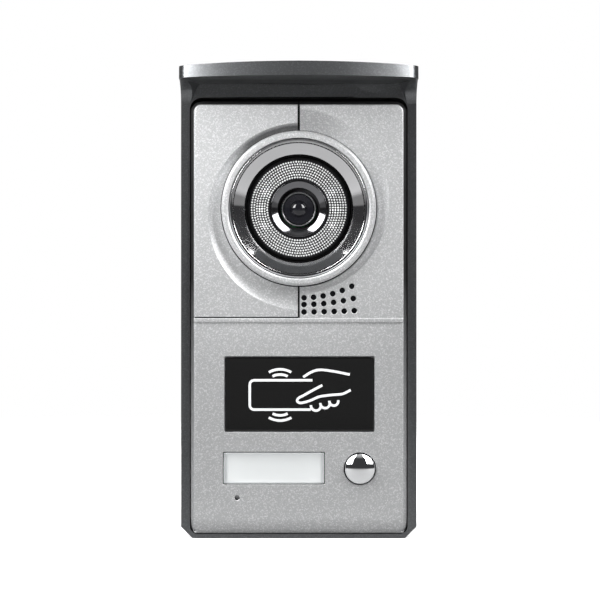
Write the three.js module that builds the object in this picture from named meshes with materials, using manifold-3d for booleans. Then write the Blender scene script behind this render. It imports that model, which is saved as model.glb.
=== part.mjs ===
// Surface-mounted door intercom panel in a rain hood, modelled as an assembly of separate pieces.
// Everything is drawn as seen from the front, in millimetres: x to the right, y up and z out from the wall,
// with z = 0 on the wall and y = 0 at mid height. The last group stands the drawing up, so that +Z is up
// and the front faces -Y.

import * as THREE from 'three';
import * as BufferGeometryUtils from 'three/addons/utils/BufferGeometryUtils.js';
import Module from 'manifold-3d';

const wasm = await Module();
wasm.setup();

// ---------------------------------------------------------------- driving dimensions

const GAP = 0.3; // clearance between neighbouring pieces
const HALF_TURN = Math.PI;

const hood = {
  halfWidth: 47.5,
  bottom: -95,
  archTop: 95, // top of the arched roof in the middle
  archEnd: 93.8, // top of the arched roof at its ends
  depth: 24, // wall to the front of the frame
  backPlate: 2,
  cornerChamfer: 4.7,
  pocketHalfWidth: 43.9,
  pocketBottom: -93.2,
  pocketTop: 82.8,
  pocketRadius: 4.8,
  pocketLowRadius: 3.2,
};

const visor = {
  reach: 50.5, // wall to the middle of the front lip
  bow: 8, // how far the lip's ends lie behind its middle
  cornerRadius: 5.5,
  underside: 88.4, // at the frame
  lipUnderside: 89.2,
  wingBottom: 80.4,
  wingReach: 40.5,
  wingOuterThickness: 1.4, // at the lip
  wingInnerThickness: 7.3, // at the frame, where the wing's inner face is furthest in
};

const panel = {
  halfWidth: 43.65,
  bottom: -92.9,
  top: 82.5,
  radius: 4.6,
  lowRadius: 3,
  back: 15.1,
  front: 27,
  inner: 24.4, // inner face of the front wall
  wall: 2,
  bevelWidth: 1.8,
  bevelDepth: 3.6,
  rollStart: -86, // where the front starts to roll back towards the bottom edge
  rollRadius: 9,
  beltTop: -6.1,
  beltBottom: -7.9,
  beltProud: 0.5,
};

const camera = {
  y: 38,
  openingRadius: 31.4,
  dishRadius: 37.7,
  dishOffsetX: 1.2,
  dishOffsetY: -3.2,
  dishDepth: 1.6,
  pivotZ: 12,
  ledRadius: 15.2,
  ledAngles: [0, 26.5, -26.5, 180, 153.5, 206.5],
};

const speaker = { x: 14, y: -7, holeRadius: 1.15 };
const reader = { x: 0.3, y: -36.7, width: 59.8, height: 29.8, thickness: 1.2 };
const label = { x: -10, y: -66.5, width: 40.5, height: 12.5, paneBack: 25.7, legHalf: 3.6 };
const button = { x: 24.6, y: -66.7, capRadius: 6.25, holeRadius: 6.7, edge: 27.5, rise: 2.5 };
const microphone = { x: -24.8, y: -78.4, holeRadius: 1 };

const housing = {
  halfWidth: 43.4,
  bottom: -92.6,
  top: 82.2,
  radius: 4.4,
  back: 5,
  front: 13.7,
  wall: 2,
};

const board = { left: -38, right: 38, bottom: -80, top: 2, back: 12, front: 13.6 };
const caseScrew = { x: 37, top: 76, bottom: -86, shankRadius: 1.5, headRadius: 2.9 };
const cableHole = { y: -58, radius: 8 };
const wallSlot = { x: 30, top: 52, bottom: -80, halfWidth: 2.6, halfLength: 5 };
const hook = { x: 22, y: 69, halfWidth: 3, thickness: 2.4, rise: 5.5 };
const securityScrew = { z: 9.5, shankRadius: 1.3, headRadius: 2.9, headHeight: 1.5, length: 6.7 };

// ---------------------------------------------------------------- finishes

const finish = (color, roughness, metalness, extra = {}) =>
  new THREE.MeshStandardMaterial({ color, roughness, metalness, ...extra });

const finishes = {
  hoodGrey: finish(0x45474a, 0.42, 0.35),
  silverPaint: finish(0xb9bbbd, 0.38, 0.6),
  chrome: finish(0xd8dadd, 0.06, 1),
  blackGloss: finish(0x0e0e10, 0.12, 0),
  blackPlastic: finish(0x1d1e20, 0.5, 0),
  clearPlastic: finish(0xe6edf0, 0.08, 0, { transparent: true, opacity: 0.4 }),
  frostedPlastic: finish(0xeceff0, 0.45, 0),
  card: finish(0xf4f3ee, 0.85, 0),
  rubber: finish(0x141414, 0.8, 0),
  circuitBoard: finish(0x1d5a34, 0.4, 0),
  steel: finish(0xa9adb0, 0.3, 1),
  brass: finish(0xb8953e, 0.3, 1),
  relayBlue: finish(0x2a5f9e, 0.35, 0),
  terminalGreen: finish(0x2f8a4a, 0.45, 0),
  lensGlass: finish(0x1c2430, 0.03, 0, { transparent: true, opacity: 0.6 }),
  coneFabric: finish(0x26262a, 0.9, 0),
};

// ---------------------------------------------------------------- building helpers

const assembly = new THREE.Group();

function addPart(name, geometry, material, group = assembly) {
  const mesh = new THREE.Mesh(geometry, material);
  mesh.name = name;
  group.add(mesh);
  return mesh;
}

function groupAt(x, y) {
  const group = new THREE.Group();
  group.position.set(x, y, 0);
  assembly.add(group);
  return group;
}

// A closed three.js geometry as a solid for joining and cutting.
function toSolid(geometry) {
  const bare = geometry.clone();
  bare.deleteAttribute('normal');
  bare.deleteAttribute('uv');
  const merged = BufferGeometryUtils.mergeVertices(bare, 1e-4);
  return new wasm.Manifold(new wasm.Mesh({
    numProp: 3,
    vertProperties: new Float32Array(merged.attributes.position.array),
    triVerts: new Uint32Array(merged.index.array),
  }));
}

function toGeometry(solid) {
  const mesh = solid.getMesh();
  const geometry = new THREE.BufferGeometry();
  geometry.setAttribute('position', new THREE.BufferAttribute(new Float32Array(mesh.vertProperties), 3));
  geometry.setIndex(new THREE.BufferAttribute(new Uint32Array(mesh.triVerts), 1));
  geometry.computeVertexNormals();
  return geometry;
}

function join(first, ...others) {
  return toGeometry(others.reduce((solid, other) => solid.add(toSolid(other)), toSolid(first)));
}

function cut(first, ...tools) {
  return toGeometry(tools.reduce((solid, tool) => solid.subtract(toSolid(tool)), toSolid(first)));
}

function common(first, ...others) {
  return toGeometry(others.reduce((solid, other) => solid.intersect(toSolid(other)), toSolid(first)));
}

function box(x0, x1, y0, y1, z0, z1) {
  const geometry = new THREE.BoxGeometry(x1 - x0, y1 - y0, z1 - z0);
  return geometry.translate((x0 + x1) / 2, (y0 + y1) / 2, (z0 + z1) / 2);
}

// A round bar whose axis points out from the wall.
function rod(radius, z0, z1, x = 0, y = 0, sides = 20) {
  const geometry = new THREE.CylinderGeometry(radius, radius, z1 - z0, sides);
  return geometry.rotateX(HALF_TURN / 2).translate(x, y, (z0 + z1) / 2);
}

// A turned piece about an axis pointing out from the wall. The profile is a list of [radius, z], going
// up the outer side and down the inner side, and it is closed here if it doesn't end on the axis.
function turned(profile, sides = 32, x = 0, y = 0) {
  const points = profile.map(([radius, z]) => new THREE.Vector2(radius, z));
  if (profile[0][0] > 0) points.push(points[0].clone());
  return new THREE.LatheGeometry(points, sides).rotateX(HALF_TURN / 2).translate(x, y, 0);
}

// A plate cut from a shape drawn as seen from the front.
function plate(shape, z0, z1, curveSegments = 8) {
  const geometry = new THREE.ExtrudeGeometry(shape, { depth: z1 - z0, bevelEnabled: false, curveSegments });
  return geometry.translate(0, 0, z0);
}

// A round top as [radius, z], from its edge in to the axis: part of a ball.
function domeProfile(radius, edge, rise) {
  const ball = (radius ** 2 + rise ** 2) / (2 * rise);
  const reach = Math.asin(radius / ball);
  const dome = arc(0, edge + rise - ball, ball, ball, HALF_TURN / 2 - reach, HALF_TURN / 2, 4);
  return [...dome.slice(0, -1), [0, edge + rise]];
}

// A bar along x whose cross-section is a list of [y, z].
function sideBar(section, x0, x1) {
  const shape = new THREE.Shape(section.map(([y, z]) => new THREE.Vector2(-z, y)));
  const geometry = new THREE.ExtrudeGeometry(shape, { depth: x1 - x0, bevelEnabled: false });
  return geometry.rotateY(HALF_TURN / 2).translate(x0, 0, 0);
}

// A bar along y whose cross-section is a list of [x, z].
function uprightBar(section, y0, y1) {
  const shape = new THREE.Shape(section.map(([x, z]) => new THREE.Vector2(x, -z)));
  const geometry = new THREE.ExtrudeGeometry(shape, { depth: y1 - y0, bevelEnabled: false });
  return geometry.rotateX(-HALF_TURN / 2).translate(0, y0, 0);
}

// Points of an elliptical arc about (u, v), with angles in radians.
function arc(u, v, radiusU, radiusV, from, to, steps) {
  return Array.from({ length: steps + 1 }, (_, i) => {
    const angle = from + ((to - from) * i) / steps;
    return [u + radiusU * Math.cos(angle), v + radiusV * Math.sin(angle)];
  });
}

// A rounded rectangle between two corners, with its own radius at the top and at the bottom.
function roundedRectangle(x0, x1, y0, y1, topRadius, lowRadius = topRadius) {
  const shape = new THREE.Shape();
  shape.moveTo(x0 + lowRadius, y0);
  shape.lineTo(x1 - lowRadius, y0);
  shape.absarc(x1 - lowRadius, y0 + lowRadius, lowRadius, -HALF_TURN / 2, 0, false);
  shape.lineTo(x1, y1 - topRadius);
  shape.absarc(x1 - topRadius, y1 - topRadius, topRadius, 0, HALF_TURN / 2, false);
  shape.lineTo(x0 + topRadius, y1);
  shape.absarc(x0 + topRadius, y1 - topRadius, topRadius, HALF_TURN / 2, HALF_TURN, false);
  shape.lineTo(x0, y0 + lowRadius);
  shape.absarc(x0 + lowRadius, y0 + lowRadius, lowRadius, HALF_TURN, HALF_TURN * 1.5, false);
  return shape;
}

// A slot with round ends, lying along x.
function slot(x, y, halfLength, halfWidth, z0, z1) {
  const [x0, x1, y0, y1] = [x - halfLength, x + halfLength, y - halfWidth, y + halfWidth];
  return plate(roundedRectangle(x0, x1, y0, y1, halfWidth * 0.999), z0, z1, 5);
}

// Six times the signed volume of a closed mesh, negative when its faces point inwards.
function signedVolume(points, index) {
  let sum = 0;
  for (let i = 0; i < index.length; i += 3) {
    const [a, b, c] = [points[index[i]], points[index[i + 1]], points[index[i + 2]]];
    sum += a.dot(b.clone().cross(c));
  }
  return sum;
}

// A closed body carried through a list of sections, each a list of THREE.Vector3 of one length.
function loft(sections) {
  const count = sections[0].length;
  const positions = sections.flat().flatMap((point) => [point.x, point.y, point.z]);
  const index = [];
  for (let i = 0; i < sections.length - 1; i += 1) {
    for (let j = 0; j < count; j += 1) {
      const a = i * count + j;
      const b = i * count + ((j + 1) % count);
      index.push(a, b, b + count, a, b + count, a + count);
    }
  }
  const last = (sections.length - 1) * count;
  for (let j = 1; j < count - 1; j += 1) {
    index.push(0, j + 1, j, last, last + j, last + j + 1);
  }
  if (signedVolume(sections.flat(), index) < 0) index.reverse();
  const geometry = new THREE.BufferGeometry();
  geometry.setAttribute('position', new THREE.Float32BufferAttribute(positions, 3));
  geometry.setIndex(index);
  return geometry;
}

const radians = (degrees) => (degrees * HALF_TURN) / 180;

function polar(radius, degrees) {
  return [radius * Math.cos(radians(degrees)), radius * Math.sin(radians(degrees))];
}

// ---------------------------------------------------------------- rain hood

// The roof's arch is a circular arc through its middle and its two ends.
function roofArch(steps) {
  const rise = hood.archTop - hood.archEnd;
  const radius = (hood.halfWidth ** 2 + rise ** 2) / (2 * rise);
  const reach = Math.asin(hood.halfWidth / radius);
  const centre = hood.archTop - radius;
  return arc(0, centre, radius, radius, HALF_TURN / 2 - reach, HALF_TURN / 2 + reach, steps);
}

function hoodBody() {
  const { halfWidth, bottom, cornerChamfer } = hood;
  const outline = [
    [-halfWidth + cornerChamfer, bottom],
    [halfWidth - cornerChamfer, bottom],
    [halfWidth, bottom + cornerChamfer],
    ...roofArch(10),
    [-halfWidth, bottom + cornerChamfer],
  ];
  return plate(new THREE.Shape(outline.map(([x, y]) => new THREE.Vector2(x, y))), 0, hood.depth);
}

function hoodPocket() {
  const { pocketHalfWidth, pocketBottom, pocketTop, pocketRadius, pocketLowRadius, backPlate, depth } = hood;
  const outline = roundedRectangle(
    -pocketHalfWidth, pocketHalfWidth, pocketBottom, pocketTop, pocketRadius, pocketLowRadius,
  );
  return plate(outline, backPlate, depth + 1, 5);
}

// Plan of the visor: a bowed front lip with round corners.
function visorPlan() {
  const { reach, bow, cornerRadius } = visor;
  const radius = (hood.halfWidth ** 2 + bow ** 2) / (2 * bow);
  const lean = Math.asin((hood.halfWidth - cornerRadius) / (radius - cornerRadius));
  const centre = reach - radius;
  const cornerX = (radius - cornerRadius) * Math.sin(lean);
  const cornerZ = centre + (radius - cornerRadius) * Math.cos(lean);
  const start = hood.depth - 1;
  return [
    [-hood.halfWidth, start],
    [hood.halfWidth, start],
    ...arc(cornerX, cornerZ, cornerRadius, cornerRadius, 0, HALF_TURN / 2 - lean, 6),
    ...arc(0, centre, radius, radius, HALF_TURN / 2 - lean, HALF_TURN / 2 + lean, 14).slice(1, -1),
    ...arc(-cornerX, cornerZ, cornerRadius, cornerRadius, HALF_TURN / 2 + lean, HALF_TURN, 6),
  ];
}

// The roof thins a little from the frame to the lip.
function visorRoof() {
  const outline = [
    [-hood.halfWidth, visor.underside],
    [hood.halfWidth, visor.underside],
    ...roofArch(10),
  ];
  const shape = new THREE.Shape(outline.map(([x, y]) => new THREE.Vector2(x, y)));
  const slab = plate(shape, hood.depth - 1, visor.reach + 1);
  const { underside, lipUnderside, reach } = visor;
  const below = [
    [underside - 5, hood.depth],
    [underside, hood.depth],
    [lipUnderside, reach],
    [lipUnderside, reach + 2],
    [underside - 5, reach + 2],
  ];
  return cut(slab, sideBar(below, -hood.halfWidth - 1, hood.halfWidth + 1));
}

// A wing sweeps forward from the frame to the lip, and its inner face leans outwards as it goes.
function visorWing(side) {
  const { wingBottom, wingReach, underside, lipUnderside, wingOuterThickness, wingInnerThickness } = visor;
  const top = lipUnderside + 0.2;
  const sweep = arc(wingBottom, wingReach, top - wingBottom, wingReach - hood.depth, -HALF_TURN / 2, 0, 8);
  const section = [[wingBottom - 1, hood.depth - 1], [wingBottom - 1, hood.depth], ...sweep,
    [top, hood.depth - 1]];
  const outer = side * hood.halfWidth;
  const rootward = outer - side * 9; // the blank is wider than the wing, and the hollow cuts it back
  const wing = sideBar(section, Math.min(outer, rootward), Math.max(outer, rootward));
  const innerAtFrame = hood.halfWidth - wingInnerThickness;
  const innerAtLip = hood.halfWidth - wingOuterThickness;
  const lean = (hood.pocketHalfWidth - innerAtFrame) / (underside - wingBottom);
  const beyondLip = wingReach + 9;
  const nearMiddle = 30;
  const ring = (y) => {
    const atFrame = innerAtFrame + (underside - y) * lean;
    return [
      new THREE.Vector3(side * nearMiddle, y, hood.depth),
      new THREE.Vector3(side * atFrame, y, hood.depth),
      new THREE.Vector3(side * innerAtLip, y, wingReach),
      new THREE.Vector3(side * innerAtLip, y, beyondLip),
      new THREE.Vector3(side * nearMiddle, y, beyondLip),
    ];
  };
  const hollow = loft([ring(wingBottom - 4), ring(underside + 4)]);
  return cut(wing, hollow);
}

// The hooks stand on the back plate and hold the unit's rear wall behind their raised tips.
function hoodHook(side) {
  const { x, y, halfWidth, thickness, rise } = hook;
  const tipBack = housing.back + housing.wall + GAP;
  const tipFront = tipBack + 1.5;
  const section = [
    [y, hood.backPlate - 1],
    [y, tipFront],
    [y + rise, tipFront],
    [y + rise, tipBack],
    [y + thickness, tipBack],
    [y + thickness, hood.backPlate - 1],
  ];
  return sideBar(section, side * x - halfWidth, side * x + halfWidth);
}

function ejectorMarks() {
  const markY = (hood.pocketTop + visor.underside) / 2;
  const pitch = 22.1;
  return [-pitch, 0, pitch].map((x) => rod(2.7, hood.depth - GAP, hood.depth + 1, x, markY, 12));
}

function securityScrewHole() {
  const { headRadius, headHeight, shankRadius, z } = securityScrew;
  const wall = hood.pocketBottom - hood.bottom;
  const cone = turned([
    [0, -1], [headRadius + GAP + 1, -1], [headRadius + GAP, 0],
    [shankRadius + GAP, headHeight], [shankRadius + GAP, wall + 1], [0, wall + 1],
  ], 16);
  return cone.rotateX(-HALF_TURN / 2).translate(0, hood.bottom, z);
}

function rainHood() {
  const visorBlank = join(visorRoof(), visorWing(1), visorWing(-1));
  const plan = uprightBar(visorPlan(), visor.wingBottom - 2, hood.archTop + 1);
  const outside = join(hoodBody(), common(visorBlank, plan));
  const shell = join(cut(outside, hoodPocket()), hoodHook(1), hoodHook(-1));
  const slots = [wallSlot.top, wallSlot.bottom].flatMap((y) =>
    [-1, 1].map((side) => slot(side * wallSlot.x, y, wallSlot.halfLength, wallSlot.halfWidth, -1, 3)));
  return cut(
    shell, ...slots, ...ejectorMarks(), securityScrewHole(),
    rod(cableHole.radius, -1, 3, 0, cableHole.y, 24),
  );
}

addPart('rain_hood', rainHood(), finishes.hoodGrey);

// The grommet's neck sits in the back plate's cable hole and its flange lies on the plate's inside.
function cableGrommet() {
  const neck = cableHole.radius - GAP;
  const seat = hood.backPlate + GAP;
  const { bore, flange, top } = { bore: 5.2, flange: 9.5, top: 3.6 };
  return turned([[bore, GAP], [neck, GAP], [neck, seat], [flange, seat], [flange, top], [bore, top]], 20);
}

addPart('cable_grommet', cableGrommet(), finishes.rubber, groupAt(0, cableHole.y));

// ---------------------------------------------------------------- front panel

function panelBlank() {
  const { halfWidth, bottom, top, radius, lowRadius, back, front, bevelWidth, bevelDepth } = panel;
  const extra = 8; // the blank runs on past the bottom and the back, where it is cut to shape
  const outline = roundedRectangle(-halfWidth, halfWidth, bottom - extra, top, radius);
  const bevelled = new THREE.ExtrudeGeometry(outline, {
    depth: front - back + extra - 2 * bevelDepth,
    bevelThickness: bevelDepth,
    bevelSize: bevelWidth,
    bevelOffset: -bevelWidth,
    bevelSegments: 3,
    curveSegments: 4,
  });
  bevelled.translate(0, 0, back - extra + bevelDepth);
  const rim = roundedRectangle(-halfWidth, halfWidth, bottom, top, radius, lowRadius);
  const foot = plate(rim, back, front + 1, 4);
  return common(bevelled, foot, sideBar(panelSection(0), -halfWidth - 1, halfWidth + 1));
}

// The side view of the panel: flat, with the lowest stretch rolling back to the bottom edge.
function panelSection(inset) {
  const { bottom, top, front, rollStart, rollRadius, back } = panel;
  const centreZ = front - rollRadius;
  const edge = rollStart - bottom - 0.2;
  const lean = Math.asin(edge / rollRadius);
  const roll = arc(
    rollStart, centreZ, rollRadius - inset, rollRadius - inset, HALF_TURN / 2 + lean, HALF_TURN / 2, 6,
  );
  return [[bottom + inset, back - inset], [bottom + inset, roll[0][1] - 0.2], ...roll,
    [top + 1, front - inset], [top + 1, back - inset]];
}

function panelCavity() {
  const { halfWidth, bottom, top, radius, lowRadius, back, front, inner, wall } = panel;
  const outline = roundedRectangle(
    -halfWidth + wall, halfWidth - wall, bottom + wall, top - wall, radius - wall, lowRadius - wall,
  );
  return common(
    plate(outline, back - 1, inner, 4),
    sideBar(panelSection(front - inner), -halfWidth, halfWidth),
  );
}

// Half of the swept dish round the camera. Its outer edge is an arc off the camera's centre, so the
// dish is narrow and steep at one end and wide and shallow at the other.
function halfDish(turn) {
  const { dishRadius, dishOffsetX, dishOffsetY, dishDepth, openingRadius, y } = camera;
  const inner = openingRadius - 1.5;
  const steps = 14;
  const overrun = radians(0.5); // the two halves run a little past each other at the seam
  const sections = [];
  for (let i = 0; i <= steps; i += 1) {
    const angle = HALF_TURN / 2 - overrun + ((HALF_TURN + 2 * overrun) * i) / steps;
    const across = dishOffsetX * Math.cos(angle) + dishOffsetY * Math.sin(angle);
    const square = dishOffsetX ** 2 + dishOffsetY ** 2;
    const outer = across + Math.sqrt(across ** 2 - square + dishRadius ** 2);
    const middle = openingRadius + (outer - openingRadius) * 0.55;
    const at = (radius, z) => new THREE.Vector3(
      radius * Math.cos(angle + turn), y + radius * Math.sin(angle + turn), z,
    );
    sections.push([
      at(inner, panel.front - dishDepth), at(middle, panel.front - dishDepth * 0.75),
      at(outer, panel.front), at(outer, panel.front + 2), at(inner, panel.front + 2),
    ]);
  }
  return loft(sections);
}

// Three rows of holes that fan upwards to the right.
function speakerHoles() {
  const rows = [
    { y: 2.05, pitch: 3.84, rise: 0.185 },
    { y: -0.68, pitch: 3.96, rise: 0.097 },
    { y: -3.66, pitch: 4.04, rise: 0.022 },
  ];
  const startX = 2.13;
  const columns = 6;
  const hole = (x, y) => rod(speaker.holeRadius, panel.inner - 1, panel.front + 1, x, y, 8);
  return rows.flatMap(({ y, pitch, rise }) =>
    Array.from({ length: columns }, (_, i) => hole(startX + pitch * i, y + rise * i * i)));
}

function panelGrooves() {
  const { front, halfWidth, top, beltTop, beltBottom } = panel;
  const dishTop = camera.y + camera.openingRadius;
  const dishBottom = camera.y - camera.openingRadius;
  const seamFloor = front - camera.dishDepth - GAP;
  return [
    box(-0.5, 0.5, dishTop - 1, top + 1, seamFloor, front + 1),
    box(-0.4, 0.4, beltTop + 0.1, dishBottom + 1, seamFloor, front + 1),
    box(-halfWidth, 0, beltTop, beltTop + 0.5, front - 0.8, front + 1),
    box(-halfWidth, halfWidth, beltBottom - 0.6, beltBottom, front - 0.4, front + 1),
  ];
}

function caseScrewPlaces() {
  return [caseScrew.top, caseScrew.bottom].flatMap((y) => [-1, 1].map((side) => [side * caseScrew.x, y]));
}

function panelBosses() {
  const posts = caseScrewPlaces().map(([x, y]) => ({
    solid: rod(3.6, panel.back, panel.inner + 0.5, x, y, 16),
    hole: rod(caseScrew.shankRadius + GAP, panel.back - 1, 22.6, x, y, 12),
  }));
  const ears = carrierEars().map(([x, y]) => ({
    solid: rod(2.6, carrier.flangeFront + GAP, panel.inner + 0.5, x, camera.y + y, 12),
    hole: rod(1.3, carrier.flangeFront, 23.4, x, camera.y + y, 10),
  }));
  return [...posts, ...ears];
}

const carrier = { flangeBack: 17, flangeFront: 18.8, earRadius: 36.5, earAngles: [35, 145, 235] };

function carrierEars() {
  return carrier.earAngles.map((degrees) => polar(carrier.earRadius, degrees));
}

function frontPanel() {
  const { front, inner, beltTop, beltBottom, beltProud, halfWidth, bevelWidth } = panel;
  const bosses = panelBosses();
  const ledge = 2;
  const beltHalf = halfWidth - bevelWidth + 0.4;
  const belt = box(-beltHalf, beltHalf, beltBottom, beltTop, front - 1, front + beltProud);
  const shell = cut(panelBlank(), panelCavity(), halfDish(0), halfDish(HALF_TURN), ...panelGrooves());
  const windowHalf = { x: reader.width / 2 + GAP, y: reader.height / 2 + GAP };
  const openings = [
    rod(camera.openingRadius, inner - 1, front + 1, 0, camera.y, 40),
    box(
      reader.x - windowHalf.x, reader.x + windowHalf.x, reader.y - windowHalf.y, reader.y + windowHalf.y,
      front - reader.thickness - GAP, front + 1,
    ),
    box(
      reader.x - windowHalf.x + ledge, reader.x + windowHalf.x - ledge,
      reader.y - windowHalf.y + ledge, reader.y + windowHalf.y - ledge, inner - 1, front,
    ),
    box(
      label.x - label.width / 2 - GAP, label.x + label.width / 2 + GAP,
      label.y - label.height / 2 - GAP, label.y + label.height / 2 + GAP, inner - 1, front + 1,
    ),
    rod(button.holeRadius, inner - 1, front + 1, button.x, button.y, 24),
    rod(microphone.holeRadius, inner - 1, front + 1, microphone.x, microphone.y, 12),
    ...speakerHoles(),
  ];
  return cut(
    join(shell, belt, ...bosses.map((boss) => boss.solid)),
    ...openings, ...bosses.map((boss) => boss.hole),
  );
}

addPart('front_panel', frontPanel(), finishes.silverPaint);

// ---------------------------------------------------------------- rear housing and gasket

function rearHousing() {
  const { halfWidth, bottom, top, radius, back, front, wall } = housing;
  const rim = roundedRectangle(-halfWidth, halfWidth, bottom, top, radius, panel.lowRadius);
  const hollow = roundedRectangle(
    -halfWidth + wall, halfWidth - wall, bottom + wall, top - wall, radius - wall, 1,
  );
  const floor = back + wall;
  const tray = cut(plate(rim, back, front, 4), plate(hollow, floor, front + 1, 4));
  const corners = caseScrewPlaces();
  const pillars = corners.map(([x, y]) => rod(4.3, back + 0.5, front, x, y, 12));
  const counterbores = corners.map(([x, y]) => rod(caseScrew.headRadius + GAP, back - 1, 7.4, x, y, 12));
  const holes = corners.map(([x, y]) => rod(caseScrew.shankRadius + GAP, back, front + 1, x, y, 8));
  const boardPosts = boardScrewPlaces().map(([x, y]) => rod(2.6, back + 1, board.back - GAP, x, y, 10));
  const boardHoles = boardScrewPlaces().map(([x, y]) => rod(1.3, floor + 1, board.back, x, y, 8));
  const hookSlots = [-1, 1].map((side) => box(
    side * hook.x - hook.halfWidth - GAP, side * hook.x + hook.halfWidth + GAP,
    hook.y - 5, hook.y + hook.thickness + GAP, back - 1, floor + 1,
  ));
  const insertSeat = sleeveUp(insert.radius + GAP, bottom - 1, insert.top + GAP, 12);
  const insertBoss = sleeveUp(insert.radius + 2, bottom + 0.5, insert.top + 1.6, 12);
  const { left, right, low, high } = wiringOpening;
  const sensorRecess = box(-12.5, 12.5, camera.y - 12.5, camera.y + 12.5, back + 0.9, floor + 1);
  return cut(
    join(tray, ...pillars, ...boardPosts, insertBoss),
    ...counterbores, ...holes, ...boardHoles, ...hookSlots, insertSeat, sensorRecess,
    box(left, right, low, high, back - 1, floor + 1),
  );
}

const wiringOpening = { left: -17, right: 17, low: -72, high: -28 };
const insert = { radius: 2.4, bore: 1.6, bottom: -92.2, top: -87.5 };

// An upright round bar at the security screw's place.
function sleeveUp(radius, y0, y1, sides) {
  const bar = new THREE.CylinderGeometry(radius, radius, y1 - y0, sides);
  return bar.translate(0, (y0 + y1) / 2, securityScrew.z);
}

function boardScrewPlaces() {
  return [[-35, -4], [35, -4], [-35, -74], [35, -74]];
}

addPart('rear_housing', rearHousing(), finishes.blackPlastic);

function panelGasket() {
  const outline = roundedRectangle(-43.2, 43.2, -92.4, 82, 4.2, 2.8);
  outline.holes.push(roundedRectangle(-41.8, 41.8, -91, 80.6, 2.8, 1.4));
  return plate(outline, housing.front + GAP, panel.back - GAP, 3);
}

addPart('panel_gasket', panelGasket(), finishes.rubber);

caseScrewPlaces().forEach(([x, y], i) => {
  const screw = turned([
    [0, 5.3], [caseScrew.headRadius, 5.3], [caseScrew.headRadius, 7.1],
    [caseScrew.shankRadius, 7.1], [caseScrew.shankRadius, 22.2], [0, 22.2],
  ], 12);
  addPart(`case_screw_${i + 1}`, screw, finishes.steel, groupAt(x, y));
});

addPart('threaded_insert', turned([
  [insert.bore, 0], [insert.radius, 0], [insert.radius, insert.top - insert.bottom],
  [insert.bore, insert.top - insert.bottom],
], 12).rotateX(-HALF_TURN / 2).translate(0, insert.bottom, securityScrew.z), finishes.brass);

function countersunkScrew() {
  const { headRadius, headHeight, shankRadius, length, z } = securityScrew;
  const screw = turned([
    [0, 0.05], [headRadius, 0.05], [shankRadius, headHeight], [shankRadius, length], [0, length],
  ], 12);
  return screw.rotateX(-HALF_TURN / 2).translate(0, hood.bottom, z);
}

addPart('security_screw', countersunkScrew(), finishes.steel);

// ---------------------------------------------------------------- camera window

const cameraGroup = groupAt(0, camera.y);

addPart('bezel_ring', turned([
  [28.2, 19.1], [31.1, 19.1], [31.1, 28.9], [30.2, 30], [28.9, 30], [28.2, 29.6],
], 40), finishes.silverPaint, cameraGroup);

addPart('chrome_trim_ring', turned([
  [26.4, 19.1], [27.9, 19.1], [27.9, 28.6], [27.1, 29.5], [26.2, 28.6],
  [21.9, 24.3], [21.9, 23.2], [22.6, 23.2], [26.4, 27],
], 36), finishes.chrome, cameraGroup);

function lensCarrier() {
  const ring = turned([
    [20.2, carrier.flangeBack], [31.8, carrier.flangeBack], [31.8, carrier.flangeFront],
    [21.6, carrier.flangeFront], [21.6, 24], [20.4, 24], [20.4, 21.3],
    [19.6, 21.3], [19.6, 20.4], [20.2, 20.4],
  ], 32);
  const ears = carrierEars().map(([x, y]) => rod(3, carrier.flangeBack, carrier.flangeFront, x, y, 12));
  const links = carrier.earAngles.map((degrees) => {
    const link = box(30, carrier.earRadius, -3, 3, carrier.flangeBack, carrier.flangeFront);
    return link.rotateZ(radians(degrees));
  });
  const hole = ([x, y]) => rod(1.3, carrier.flangeBack - 1, carrier.flangeFront + 1, x, y, 10);
  return cut(join(ring, ...ears, ...links), ...carrierEars().map(hole));
}

addPart('lens_carrier', lensCarrier(), finishes.blackGloss, cameraGroup);

carrierEars().forEach(([x, y], i) => {
  const screw = turned([[0, 15.2], [2.3, 15.2], [2.3, 16.7], [1, 16.7], [1, 23], [0, 23]], 10, x, y);
  addPart(`carrier_screw_${i + 1}`, screw, finishes.steel, cameraGroup);
});

addPart('diffuser_ring', turned([
  [11.7, 21.6], [20.1, 21.6], [20.1, 23], [11.7, 23],
], 32), finishes.clearPlastic, cameraGroup);

addPart('lens_shroud', turned([
  [10.3, 17.4], [11.4, 17.4], [11.4, 23.5], [11, 23.5], [8, 20.7], [8, 19.9], [8.6, 19.9], [10.3, 21.3],
], 28), finishes.blackGloss, cameraGroup);

// ---------------------------------------------------------------- infrared lighting

addPart('led_board', turned([
  [8.7, 15.9], [19.4, 15.9], [19.4, 17.1], [8.7, 17.1],
], 32), finishes.circuitBoard, cameraGroup);

camera.ledAngles.forEach((degrees, i) => {
  const [x, y] = polar(camera.ledRadius, degrees);
  const led = turned([
    [0, 17.4], [2.6, 17.4], [2.6, 18.2], [2.3, 18.2], [2.3, 19.6], [1.6, 20.8], [0, 21.3],
  ], 12, x, y);
  addPart(`infrared_led_${i + 1}`, led, finishes.frostedPlastic, cameraGroup);
});

// ---------------------------------------------------------------- camera on its tilting cradle

function cameraBracket() {
  const { pivotZ } = camera;
  const plateRing = new THREE.Shape();
  plateRing.absarc(0, 0, 19.4, 0, HALF_TURN * 2, false);
  const hole = new THREE.Path();
  hole.absarc(0, 0, 10.8, 0, HALF_TURN * 2, true);
  plateRing.holes.push(hole);
  const ring = plate(plateRing, 14.1, 15.5, 16);
  const arms = [-1, 1].map((side) => box(
    Math.min(side * 12.6, side * 14.4), Math.max(side * 12.6, side * 14.4), -4.5, 4.5, 8, 14.6,
  ));
  const pinHoles = new THREE.CylinderGeometry(1.6, 1.6, 40, 12).rotateZ(HALF_TURN / 2);
  return cut(join(ring, ...arms), pinHoles.translate(0, 0, pivotZ));
}

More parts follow.
